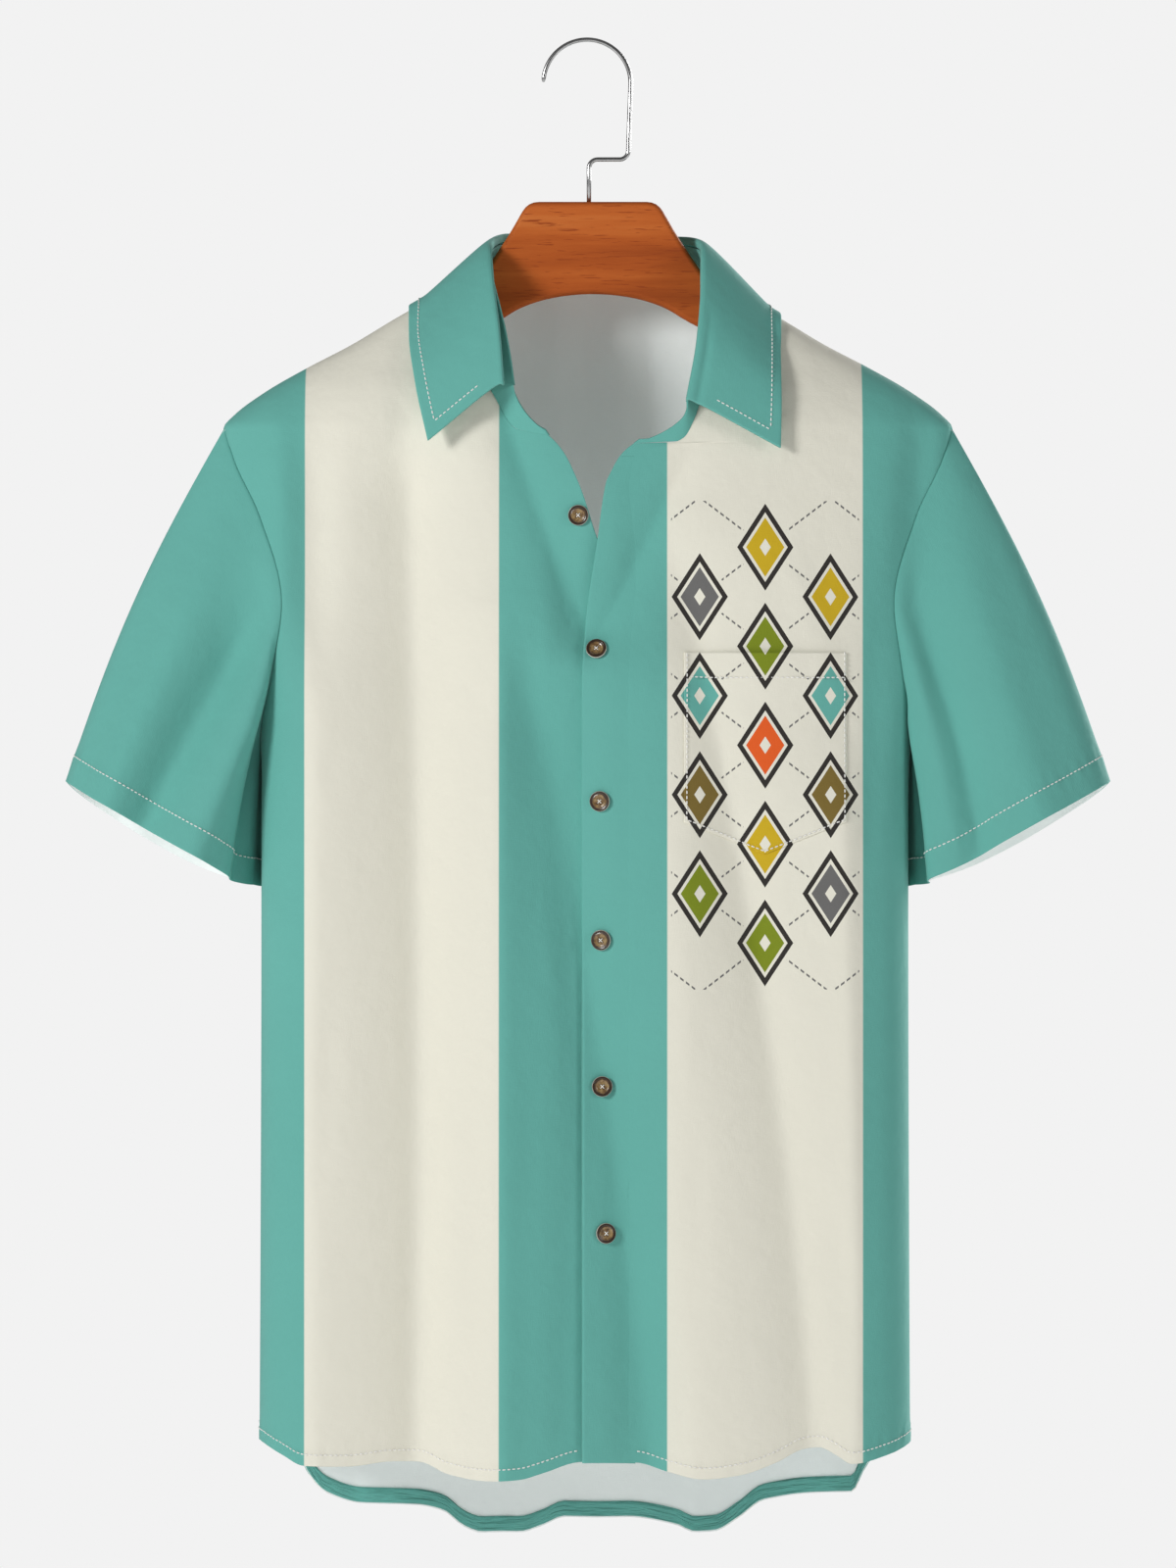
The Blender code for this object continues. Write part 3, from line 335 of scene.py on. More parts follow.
# %% Folds of the body
FOLD_EASE = 0.09          # length over which a fold grows out of the plain cloth
FOLD_BEND = 0.22          # roundness of a fold's crest, as a share of its width
HEM_START = -0.83         # rows below this height bend to the hem's line
FOLDS = {   # x at the top, middle and end; z at the top and end; width; height
    "front": [
        (-0.174, -0.174, -0.174, -0.33, -0.96, 0.034, 0.013),
        (-0.116, -0.107, -0.11, -0.21, -0.96, 0.034, -0.025),
        (-0.055, -0.0545, -0.0545, -0.33, -0.96, 0.021, 0.012),
        (-0.05, 0.01, 0.044, -0.35, -0.96, 0.036, -0.0185),
        (0.06, 0.061, 0.068, -0.33, -0.96, 0.032, 0.005),
        (0.046, 0.113, 0.146, -0.29, -0.96, 0.025, -0.0125),
        (0.158, 0.166, 0.17, -0.42, -0.96, 0.021, 0.0095),
        (-0.07, -0.033, 0.006, -0.185, -0.4, 0.014, -0.0085),
        (0.074, 0.035, -0.005, -0.24, -0.4, 0.017, -0.007)],
    "back": [
        (-0.022, -0.022, -0.026, -0.1, -0.4, 0.015, -0.0045),
        (0.0, -0.002, -0.004, -0.1, -0.45, 0.014, 0.0045),
        (0.022, 0.021, 0.022, -0.13, -0.37, 0.014, -0.004),
        (0.04, 0.04, 0.042, -0.13, -0.43, 0.014, 0.004),
        (-0.158, -0.154, -0.15, -0.42, -0.99, 0.026, 0.006),
        (-0.105, -0.104, -0.112, -0.38, -0.99, 0.026, -0.008),
        (-0.062, -0.055, -0.056, -0.34, -0.99, 0.026, 0.009),
        (0.0, 0.006, 0.006, -0.3, -0.99, 0.028, -0.0085),
        (0.06, 0.063, 0.072, -0.36, -0.99, 0.026, 0.009),
        (0.11, 0.119, 0.122, -0.42, -0.99, 0.024, -0.008),
        (0.16, 0.158, 0.16, -0.48, -0.99, 0.022, 0.0055)]}
CREASES = {   # x and z at the top, x and z at the end; width; height
    "front": [
        (-0.197, -0.19, -0.193, -0.44, 0.011, 0.004), (-0.172, -0.2, -0.17, -0.44, 0.012, -0.0035),
        (0.214, -0.19, 0.2, -0.42, 0.013, -0.007), (0.194, -0.33, 0.197, -0.99, 0.02, 0.007),
        (-0.085, -0.3, -0.098, -0.52, 0.012, -0.001), (-0.16, -0.56, -0.17, -0.78, 0.009, -0.0012),
        (-0.082, -0.64, -0.088, -0.86, 0.01, 0.0013), (-0.02, -0.52, -0.014, -0.76, 0.009, 0.001),
        (0.12, -0.3, 0.162, -0.44, 0.012, 0.0012), (0.186, -0.3, 0.176, -0.56, 0.009, -0.0015),
        (0.062, -0.62, 0.07, -0.86, 0.01, -0.0012), (0.15, -0.7, 0.176, -0.9, 0.01, -0.0011)],
    "back": [
        (-0.15, -0.23, -0.06, -0.33, 0.014, 0.0016), (0.14, -0.24, 0.05, -0.35, 0.013, 0.0018),
        (-0.03, -0.48, -0.036, -0.76, 0.009, 0.0014), (0.034, -0.56, 0.04, -0.9, 0.01, -0.0014),
        (-0.135, -0.6, -0.128, -0.9, 0.009, 0.0013), (0.14, -0.3, 0.15, -0.52, 0.012, -0.0014),
        (-0.18, -0.47, -0.176, -0.7, 0.009, -0.0012)]}


def fold_height(side, x, z):
    """How far the folds lift the cloth: the sum of height x fade x exp(-distance) for folds,
    which turn sharply at their crest, and height x fade x exp(-distance^2) for creases."""
    lift = np.zeros(np.broadcast(x, z).shape)
    for x_top, x_middle, x_end, z_top, z_end, width, height in FOLDS[side]:
        down = (z - z_top) / (z_end - z_top)
        crest = x_top + (x_end - x_top) * down + 4 * down * (1 - down) * (
            x_middle - (x_top + x_end) / 2)
        across = np.sqrt(((x - crest) / width) ** 2 + FOLD_BEND ** 2) - FOLD_BEND
        grow = min(FOLD_EASE, 0.35 * (z_top - z_end))
        fade = ease(z, z_top, z_top - grow)
        if z_end > HEM_START:
            fade = fade * (1 - ease(z, z_end + grow / 2, z_end))
        lift = lift + height * fade * np.exp(-across)
    for x_top, z_top, x_end, z_end, width, height in CREASES[side]:
        across = (x - x_top - (x_end - x_top) * (z - z_top) / (z_end - z_top)) / width
        grow = (z_top - z_end) * 0.4
        fade = ease(z, z_top, z_top - grow) * (1 - ease(z, z_end + grow, z_end))
        lift = lift + height * fade * np.exp(-across ** 2)
    return lift


# %% The surface of the body and its seams
def middle_x(z):
    """Middle of the level section: below the armholes the shirt hangs slightly to one side."""
    return -0.002 * ease(z, -0.36, -0.5)


def torso(angle, z):
    """x = half width x sin(angle), y = -+ depth x |cos(angle)|^power, with the folds' lift."""
    angle, z = np.broadcast_arrays(angle, z)
    wide, front_depth, back_depth = section(z)
    cosine = np.cos(angle)
    x = middle_x(z) + wide * np.sin(angle)
    front = cosine >= 0
    lift = np.where(front, fold_height("front", x, z), fold_height("back", x, z))
    reach = np.abs(cosine) ** SECTION_POWER
    y = np.where(front, front_depth, back_depth) * reach + lift * np.minimum(1.0, 1.5 * reach)
    return np.stack([x, np.where(front, -y, y), z], -1)


def torso_normal(angle, z):
    """Unit normal from differences along the two parameters, away from the wearer."""
    step = 1e-3
    across = torso(angle + step, z) - torso(angle - step, z)
    return unit(np.cross(torso(angle, z - step) - torso(angle, z + step), across))


def angle_at(x, z):
    return np.arcsin(np.clip((x - middle_x(z)) / section(z)[0], -1, 1))


def side_angle(signed_depth, z):
    """Angle at the shirt's side where y is signed_depth: under 90 degrees in front of the
    side seam, over 90 degrees behind it."""
    _, front_depth, back_depth = section(z)
    full = np.where(signed_depth < 0, front_depth, back_depth)
    away = np.arccos(np.clip(np.abs(signed_depth) / full, 0, 1) ** (1 / SECTION_POWER))
    return np.where(signed_depth < 0, away, math.pi - away)


def shoulder_seam(z):
    return -np.interp(z, [TIP_Z, NECK_Z], [TIP_SEAM_Y, NECK_SEAM_Y])


def front_end(z):
    """The front's side edge: shoulder seam, then armhole, then side seam."""
    depth = np.where(z > TIP_Z, shoulder_seam(z), -armhole(z)[0])
    return side_angle(np.where(z > ARMPIT_Z, depth, -1e-5), z)


def back_end(z):
    """The back's side edge, which passes over the shoulder's ridge to meet the front."""
    over = ease(z, TIP_Z, TIP_Z - 0.0091)
    depth = armhole(z)[0] * over - TIP_SEAM_Y * (1 - over)
    depth = np.where(z > TIP_Z, shoulder_seam(z), depth)
    return side_angle(np.where(z > ARMPIT_Z, depth, 1e-5), z)


print(f"{sum(map(len, FOLDS.values()))} folds and {sum(map(len, CREASES.values()))} creases")

# %% [markdown]
# ## From a grid of points to a piece of cloth
#
# A sheet of cloth could be a single layer of faces, but its edges would then look like cut
# paper, and its reverse could not have a colour of its own. Each piece here is a closed wall:
# the grid of the outer side, the same grid moved inward by the cloth's thickness, and a rim. The
# print of this cloth is on its face only, so the inner grid takes a pale finish, except on the
# turned hems, where the face has been folded to the inside.

# %% The wall of cloth
def spaced(length, pitch, near=(0.0, 0.0006, 0.0013, 0.0022, 0.0034)):
    """Places from 0 to 1 along `length` metres, `pitch` apart and closer near both ends."""
    near = np.array(near) / length
    inner = np.linspace(near[-1], 1 - near[-1], max(2, round(length / pitch)))
    return np.concatenate([near[:-1], inner, 1 - near[-2::-1]])


def run(points, axis, from_end=False):
    """Distance along the grid from its first (or last) row (axis 0) or column (axis 1)."""
    if from_end:
        return np.flip(run(np.flip(points, axis), axis), axis)
    gap = np.linalg.norm(np.diff(points, axis=axis), axis=-1)
    return np.concatenate([np.zeros_like(gap.take([0], axis)), np.cumsum(gap, axis)], axis)


def between_rows(at, places, rows):
    """The rows of (n, 3) values that lie at `places`, interpolated at `at`."""
    return np.stack([np.interp(at, places, column) for column in rows.T], -1)


def grid_normal(points, closed=False):
    """Unit normals of a grid, from the cross product of its two directions."""
    if closed:
        wrapped = np.concatenate([points[:, -1:], points, points[:, :1]], 1)
        across = np.gradient(wrapped, axis=1)[:, 1:-1]
    else:
        across = np.gradient(points, axis=1)
    return unit(np.cross(np.gradient(points, axis=0), across))


def facing(vectors, towards):
    """The same vectors, turned where needed to the side that `towards` is on."""
    return np.where(np.sum(vectors * towards, -1, keepdims=True) < 0, -vectors, vectors)


def quads(rows, columns, closed=False):
    """Corner numbers of the faces of a grid, whose last column joins the first if closed."""
    number = np.arange(rows * columns).reshape(rows, columns)
    if closed:
        number = np.concatenate([number, number[:, :1]], 1)
    return np.stack([number[:-1, :-1], number[:-1, 1:], number[1:, 1:], number[1:, :-1]],
                    -1).reshape(-1, 4)


def make_mesh(name, points, faces, finishes, finish_of_face=None, uv=None, caps=()):
    """One object from arrays of points and faces, smooth, with its finishes and UV map."""
    mesh = bpy.data.meshes.new(name)
    mesh.from_pydata(points.tolist(), [], faces.tolist() + list(caps))
    for finish in finishes:
        mesh.materials.append(finish.material)
    if finish_of_face is not None:
        mesh.polygons.foreach_set("material_index", finish_of_face.astype(np.int32))
    if uv is not None:
        corner = np.empty(len(mesh.loops), np.int32)
        mesh.loops.foreach_get("vertex_index", corner)
        mesh.uv_layers.new(name="UVMap").data.foreach_set("uv", uv[corner].ravel())
    mesh.shade_smooth()
    mesh.update()
    thing = bpy.data.objects.new(name, mesh)
    scene.collection.objects.link(thing)
    return thing


def ring_solid(name, rings, finish, uv=None):
    """A closed solid from (rings, sides, 3) points, with a cap at its first and last ring."""
    number = np.arange(rings.shape[0] * rings.shape[1]).reshape(rings.shape[:2])
    caps = [number[0].tolist(), number[-1, ::-1].tolist()]
    faces = quads(*rings.shape[:2], closed=True)[:, ::-1]
    return make_mesh(name, rings.reshape(-1, 3), faces, (finish,), uv=uv, caps=caps)


def cloth(name, outer, inward, finishes, thickness=CLOTH, closed=False, turned=None, bare=None,
          uv=None):
    """A wall of cloth from (rows, columns, 3) outer points and unit directions to its inside.

    finishes are those of the face and of the reverse.  `turned` marks the points where the
    reverse shows the face, `bare` those where the rim shows the reverse.
    """
    rows, columns = outer.shape[:2]
    thick = np.broadcast_to(thickness, (rows, columns))[..., None]
    points = np.concatenate([outer, outer + inward * thick]).reshape(-1, 3)
    inside = rows * columns
    number = np.arange(inside).reshape(rows, columns)
    edges = [number[0], number[-1, ::-1]] + ([] if closed else [number[::-1, 0], number[:, -1]])
    if closed:
        edges = [np.append(edge, edge[0]) for edge in edges]
    rim = np.concatenate([np.stack([edge[:-1], edge[:-1] + inside, edge[1:] + inside, edge[1:]],
                                   -1) for edge in edges])
    face = quads(rows, columns, closed)
    cross = np.cross(outer[1:, 1:] - outer[:-1, :-1], outer[1:, :-1] - outer[:-1, 1:])
    if np.sum(cross * inward[:-1, :-1]) > 0:
        face, rim = face[:, ::-1], rim[:, ::-1]
    reverse = np.ones(len(face))
    if turned is not None:
        reverse[turned.reshape(-1)[face].all(1)] = 0
    rim_finish = np.zeros(len(rim))
    if bare is not None:
        rim_finish[bare.reshape(-1)[rim % inside].all(1)] = 1
    which = np.concatenate([np.zeros(len(face)), reverse, rim_finish])
    if uv is None:
        uv = np.stack([run(outer, 1), -run(outer, 0)], -1)
    uv = np.concatenate([uv.reshape(-1, 2)] * 2)
    faces = np.concatenate([face, face[:, ::-1] + inside, rim])
    made = make_mesh(name, points, faces, finishes, which, uv)
    print(f"{name}: {rows} x {columns} points, {2 * len(faces)} triangles")
    return made


def rounded(distance, reach=0.0024, depth=0.0007):
    """How far an edge turns inward at `distance` from it: a quarter of an oval."""
    return depth * (1 - np.sqrt(1 - np.clip(1 - distance / reach, 0, 1) ** 2))

# %% [markdown]
# ## Finishes of the cloth
#
# The stripes are printed on one cloth, so their borders are straight lines x = constant, with
# an edge as sharp as a print's. The weave is far finer than the eye sees from here. What shows
# of it is a slight grain along the two threads, and a soft sheen.

# %% Cloth
TEAL = (0.134, 0.44, 0.383)
CREAM = (0.81, 0.79, 0.68)
REVERSE = (0.84, 0.885, 0.87)
CHARCOAL, GREY, BROWN = (0.031, 0.027, 0.024), (0.15, 0.148, 0.145), (0.205, 0.141, 0.03)
ORANGE, OLIVE, YELLOW = (0.79, 0.115, 0.016), (0.205, 0.263, 0.012), (0.61, 0.413, 0.014)
PRINT_MIDDLE, PRINT_STEP = (0.111, -0.445), (0.041, 0.062)
PRINT_SIDES, PRINT_ENDS = (0.052, 0.17), (-0.598, -0.292)           # x; bottom and top
LOZENGE = (0.43, 0.44)      # half its width and half its height, in steps of the print
DASH, DASH_SHARE = 0.0036, 0.62     # a dash with its gap, and the share that is drawn
LINE_HALF = 0.011           # half the width of a dashed line, in steps of the print
THREAD_COUNT = 1900.0       # noise of the weave, in cycles a metre


def woven(name, pucker=0.0, **constants):
    """Cloth with a grain along both threads, and with folds pressed along u by `pucker`
    millimetres; the uv is in metres."""
    finish = Finish(name, roughness=0.82, sheen_weight=0.12, sheen_roughness=0.5,
                    specular_ior_level=0.25, **constants)
    warp = finish.uv.stretch(1.0, 0.12, 1.0).noise(THREAD_COUNT, 1.0)
    weft = finish.uv.stretch(0.12, 1.0, 1.0).noise(THREAD_COUNT, 1.0)
    finish.grain = warp + weft
    crumple = finish.place.noise(75.0, 2.0)
    height = finish.grain * 0.1 + crumple
    if pucker:
        height = height + finish.uv.stretch(30.0, 330.0, 1.0).noise(1.0, 2.0, 0.6) * pucker / 0.8
    finish.bump(height, 0.0008)
    return finish


def uneven(finish, colour, amount=0.05):
    """The colour, a little lighter and darker from place to place and thread to thread."""
    tone = finish.place.noise(14.0, 3.0) * 0.7 + finish.grain * 0.15
    return tone.mix([c * (1 - amount) for c in colour], [c * (1 + amount) for c in colour])


def lozenges(finish, ground):
    """A lattice of lozenges |u| / a + |v| / b < 1 on the ground colour, and the dashed lines
    that join their middles.  Column c is lifted by half a row for each step to the right."""
    x, y, z = finish.place.axes()
    across, up = (x - PRINT_MIDDLE[0]) / PRINT_STEP[0], (z - PRINT_MIDDLE[1]) / PRINT_STEP[1]
    column = (across + 0.5).floor()
    row = (up - column * 0.5 + 0.5).floor()
    u, v = across - column, up - column * 0.5 - row
    middle = z - v * PRINT_STEP[1]
    size = u.abs() / LOZENGE[0] + v.abs() / LOZENGE[1]
    front = (y < 0.0) * x.between(PRINT_SIDES[0], PRINT_SIDES[1], 0.0002)
    whole = front * middle.between(PRINT_ENDS[0] + 0.02, PRINT_ENDS[1] - 0.02, 0.001)
    chance = row * 0.37 + column * 0.23 + 0.11
    chance = chance - chance.floor()
    accent = chance.node("ShaderNodeValToRGB", {"interpolation": "CONSTANT", "stops": [
        (0.0, ORANGE), (0.18, TEAL), (0.36, OLIVE), (0.54, GREY), (0.7, YELLOW),
        (0.86, BROWN)]}, {"Fac": chance})
    line = 0.0
    for lean_to in (-0.5, 0.5):
        place = up + across * lean_to
        line = line + (((place + 0.5).floor() - place).abs() < LINE_HALF)
    dash = (x / DASH - (x / DASH).floor()) < DASH_SHARE
    line = line * dash * front * z.between(PRINT_ENDS[0], PRINT_ENDS[1], 0.0002)
    colour = (line > 0.5).mix(ground, GREY)
    for reach, paint in ((1.16, ground), (1.0, CHARCOAL), (0.8, ground), (0.68, accent),
                         (0.2, ground)):
        colour = (whole * (size < reach)).mix(colour, paint)
    return colour


def striped(finish):
    x = finish.place.axes()[0]
    cream = sum(x.between(a, b, 0.0004) for a, b in (STRIPES[:2], STRIPES[2:]))
    return cream.mix(uneven(finish, TEAL), lozenges(finish, uneven(finish, CREAM, 0.02)))


teal_cloth = woven("teal cloth")
teal_cloth.feed("Base Color", uneven(teal_cloth, TEAL))
striped_cloth = woven("striped cloth")
striped_cloth.feed("Base Color", striped(striped_cloth))
hem_cloth = woven("hem cloth", pucker=4.0)
hem_cloth.feed("Base Color", uneven(hem_cloth, TEAL))
# The reverse glows faintly: painted light that stands in for light coming through the thin cloth
# into the shirt's shadowed inside.
pale_reverse_glowing = woven("pale reverse", emission_color=(*REVERSE, 1.0), emission_strength=0.075)
pale_reverse_glowing.feed("Base Color", uneven(pale_reverse_glowing, REVERSE, 0.03))
print("four finishes of one cloth")

# %% [markdown]
# ## Fronts and back
#
# Each panel is a stretch of the body's surface between two edges. Its rows run from the
# shoulder to the hem, and the last of them bend into the hem's wavy line. Where a panel is sewn
# to its neighbour its edge turns inward, so the seam shows as a fine groove. A hem is folded
# twice, which makes its last centimetre a little thicker, and puckers it along the stitches.

# %% Panels
HEM_FOLD, BACK_FOLD = 0.0072, 0.0105    # heights of the turned hems, front and back
HEM_THICK, PUCKER = 0.00035, 0.00022    # how far a hem stands out, and the depth of its pucker

upper_rows = np.unique(np.concatenate([
    np.linspace(-0.154, TIP_Z, 36), np.linspace(TIP_Z, CORNER_LEFT, 15), [CORNER_RIGHT],
    np.linspace(CORNER_LEFT, ARMPIT_Z, 68), np.linspace(ARMPIT_Z, HEM_START, 130)]))[::-1]


def panel(start, end, across, hem_line, rows=upper_rows):
    """Angles and heights of a panel's points: angle = start(z) + (end(z) - start(z)) x across,
    and below HEM_START the height runs to the hem's line at that point's x."""
    z = rows[:, None]
    angle = start(z) + (end(z) - start(z)) * across
    z = np.broadcast_to(z, angle.shape)
    last = middle_x(HEM_START) + section(HEM_START)[0] * np.sin(angle[-1])
    hem = hem_line(last)[0]
    share = spaced(0.065, 0.0027)[1:, None]
    angle = np.concatenate([angle, np.broadcast_to(angle[-1], (len(share), len(across)))])
    return angle, np.concatenate([z, HEM_START + (hem - HEM_START) * share])


def sewn(outer, inward, away, **how):
    """Turn an edge inward where it is sewn: `away` is each point's distance from that edge."""
    return outer + inward * rounded(away, **how)[..., None]


def puckered(outer, inward, height):
    """Thicken the turned hem and pucker it along the stitches at its upper side."""
    up, along = run(outer, 0, from_end=True), run(outer, 1)
    ridge = HEM_THICK * ease(up, height + 0.0012, height - 0.0008)
    wave = np.sin(along * 2 * math.pi / 0.0093 + 1.7 * np.sin(along * 31)) \
        + 0.6 * np.sin(along * 2 * math.pi / 0.0171)
    pucker = PUCKER * wave * np.exp(-((up - height) / 0.0065) ** 2)
    return outer - inward * (ridge + pucker)[..., None], up


def under(x, z):
    """How far the right front is set back where it passes under the left one."""
    return ease(x, -0.03, -0.008) * ease(z, -0.278, -0.3) * (0.0012 + 2 * LAYER_GAP)


def lean(inward, shared, away):
    """Swing the wall's direction to the one it shares with its neighbour at the seam."""
    return unit(inward + (shared - inward) * ease(away, 0.0034, 0.0)[..., None])


# %% [markdown]
# ## Sleeves
#
# A sleeve is a tube between two loops: the armhole, which lies in the shirt's side, and the
# hem, a slanted oval that hangs lower behind. Lines run straight from one to the other, with a
# slight bow over the arm. The same angle goes round both loops, from the shoulder tip down the
# front to the armpit and up the back. Cloth that hangs empty falls in flat folds from the
# shoulder tip, and one deep fold from the armpit, so these are placed in that angle.

# %% Sleeve surface
SLEEVE_OUTER = (0.33, -0.4675)       # outer end of the sleeve's hem, x and z
SLEEVE_INNER = {1: (0.2105, -0.533), -1: (0.2155, -0.533)}     # inner end of each, by the body
SLEEVE_TUCK, TUCK_AT, TUCK_WIDTH = 0.0155, 3.6, 0.4    # the back of it slips behind the body
SLEEVE_DEPTH = 0.042                 # half the hem's opening, front to back
SLEEVE_BACK_DROP = 0.009             # the hem hangs this much lower at the back
SLEEVE_BOW = 0.0075                  # outward bow of the sleeve's outer line
SLEEVE_FOLD = 0.017                  # height of the turned hem
SLEEVE_FOLDS = {   # around and along at the top; around at the end; width; height
    -1: [(0.95, 0.02, 1.02, 0.24, 0.006), (1.5, -0.05, 1.42, 0.22, -0.013),
         (2.0, -0.1, 2.0, 0.22, 0.008), (2.62, -0.4, 2.76, 0.17, -0.0065),
         (4.3, 0.05, 4.2, 0.25, 0.003), (5.0, 0.1, 4.95, 0.22, -0.003),
         (3.75, 0.1, 3.8, 0.2, -0.003)],
    1: [(0.9, -0.05, 1.35, 0.26, 0.005), (1.35, -0.1, 2.1, 0.22, -0.01),
        (2.35, -0.2, 2.62, 0.18, 0.0045), (2.85, -0.4, 2.92, 0.15, -0.0045),
        (4.25, 0.1, 4.15, 0.25, 0.0032), (5.05, 0.05, 4.9, 0.22, -0.0028),
        (3.7, 0.1, 3.75, 0.2, -0.0026)]}
FOLD_END = 1.1                       # the folds run on past the hem, which is at 1


def armhole_loop(side, around):
    """The armhole's edge: z falls and rises with (1 - cos(around)) / 2."""
    z = TIP_Z + (ARMPIT_Z - TIP_Z) * (1 - np.cos(around)) / 2
    return side * np.where(np.sin(around) >= 0, front_end(z), back_end(z)), z


def sleeve_surface(side, around, along):
    """loop + (hem - loop) x along + bow x sin(pi along), for around (columns), along (rows)."""
    loop = torso(*armhole_loop(side, around))
    share = (1 - np.cos(around)) / 2
    wave = np.sin(around)
    inner_x, inner_z = SLEEVE_INNER[side]
    tuck = SLEEVE_TUCK * np.exp(-((around - TUCK_AT) / TUCK_WIDTH) ** 2)
    hem = np.stack([
        side * (SLEEVE_OUTER[0] + (inner_x - SLEEVE_OUTER[0]) * share - tuck),
        -SLEEVE_DEPTH * np.sign(wave) * np.abs(wave) ** 0.8,
        SLEEVE_OUTER[1] + (inner_z - SLEEVE_OUTER[1]) * share
        - SLEEVE_BACK_DROP * np.maximum(0, -wave)], -1)
    bow = np.outer(((1 + np.cos(around)) / 2) ** 2, (side * 0.9, 0.0, 0.42)) * SLEEVE_BOW
    along = along[:, None, None]
    return loop + (hem - loop) * along + bow * np.sin(math.pi * along)


def sleeve_lift(side, around, along):
    """Folds of a sleeve, each a bell across a line in (around, along)."""
    lift = np.zeros((len(along), len(around)))
    down = along[:, None]
    for start, top, end, width, height in SLEEVE_FOLDS[side]:
        middle = start + (end - start) * (down - top) / (FOLD_END - top)
        fade = ease(down, top, top + 0.45)
        lift += height * fade * np.exp(-((around - middle) / width) ** 2)
    return lift * ease(down, 0.0, 0.12)


def sleeve(name, side):
    """Make a sleeve; returns it, its outer points and directions, and the armhole's shared
    directions with their heights, front half and back half."""
    around = np.linspace(0, 2 * math.pi, 180, endpoint=False)
    along = spaced(0.2, 0.003)
    points = sleeve_surface(side, around, along)
    inward = facing(grid_normal(points, closed=True), points.mean(1, keepdims=True) - points)
    angle, z = armhole_loop(side, around)
    shared = unit(inward[0] - torso_normal(angle, z))
    points = points - inward * sleeve_lift(side, around, along)[..., None]
    inward = facing(grid_normal(points, closed=True), inward)
    plain, _ = puckered(points, inward, SLEEVE_FOLD)
    away = run(points, 0)
    inward = lean(inward, shared, away)
    made = cloth(name, sewn(plain, inward, away), inward, (teal_cloth, pale_reverse_glowing),
                 closed=True)
    half = len(around) // 2
    front, rear = slice(half, None, -1), slice(half, None)
    edges = [lambda at, part=part: between_rows(at, z[part], shared[part])
             for part in (front, rear)]
    return made, plain, inward, edges


sleeve_left, left_sleeve_points, left_sleeve_in, left_armhole = sleeve("sleeve_left", 1)
sleeve_right, right_sleeve_points, right_sleeve_in, right_armhole = sleeve("sleeve_right", -1)

# %% [markdown]
# ## Putting in the fronts and the back
#
# At the armhole a panel and a sleeve meet at an angle. Each wall leans to the direction halfway
# between the two, so that their edges touch all along the seam and no light shows through.

# %% Fronts
def to_sleeve(inward, z, away, shared):
    """Lean a panel's wall to the sleeve's along the armhole, and leave it elsewhere."""
    at_armhole = ((z < TIP_Z) & (z > ARMPIT_Z))[..., None]
    return np.where(at_armhole, lean(inward, shared(z), away), inward)


def body_uv(angle, z):
    return np.stack([0.2 * angle, z], -1)


def make_front(name, start, end, bare_above, shared, set_back):
    """Make a front; returns it, its puckered points and its directions to the inside."""
    angle, z = panel(start, end, spaced(0.235, 0.0026), front_hem)
    points, inward = torso(angle, z), -torso_normal(angle, z)
    if set_back:
        points = points + inward * under(points[..., 0], z)[..., None]
    plain, up = puckered(points, inward, HEM_FOLD)
    away = run(points, 1, from_end=True)
    wall_in = to_sleeve(inward, z, away, shared)
    made = cloth(name, sewn(plain, wall_in, away), wall_in, (striped_cloth, pale_reverse_glowing),
                 turned=up < HEM_FOLD, bare=z > bare_above, uv=body_uv(angle, z))
    return made, plain, inward


front_left, left_plain, left_in = make_front(
    "front_left", lambda z: angle_at(left_edge(z)[0], z), front_end, -0.312,
    left_armhole[0], set_back=False)
front_right, right_plain, right_in = make_front(
    "front_right", lambda z: angle_at(right_edge(z)[0], z), lambda z: -front_end(z), -0.330,
    right_armhole[0], set_back=True)


# %% Back
def back_start(z):
    """The back's edge, drawn back to the ridge at the very neck."""
    at_neck = ease(z, -0.154, NECK_Z)
    return back_end(z) * (1 - at_neck) + math.pi / 2 * at_neck


back_rows = np.concatenate([[NECK_Z, -0.1508, -0.152], upper_rows])
angle, z = panel(back_start, lambda z: 2 * math.pi - back_start(z), spaced(0.5, 0.0034),
                 back_hem_line, back_rows)
back_points, back_in = torso(angle, z), -torso_normal(angle, z)
back_plain, back_up = puckered(back_points, back_in, BACK_FOLD)
from_left, from_right = run(back_points, 1), run(back_points, 1, from_end=True)
wall_in = to_sleeve(back_in, z, from_left, left_armhole[1])
wall_in = to_sleeve(wall_in, z, from_right, right_armhole[1])
back = cloth("back", sewn(back_plain, wall_in, np.minimum(from_left, from_right)), wall_in,
             (striped_cloth, pale_reverse_glowing), uv=body_uv(angle, z))

# %% [markdown]
# ## Collar and stand
#
# A shirt collar is two pieces. The stand is a band sewn upright on the neckline. The fall is
# sewn to the top of the stand, rolls over it and lies on the shoulders, ending in two points.
# The stand is lofted from the neckline to the roll. The fall is a small rounded turn, followed
# by a surface from the roll to the outer edge, and that surface is pushed out wherever it would
# enter the shirt. The push is worked out from the nearest stretch of the body, averaged over a
# few millimetres, so the fall drapes over the shoulder seam instead of creasing along it.

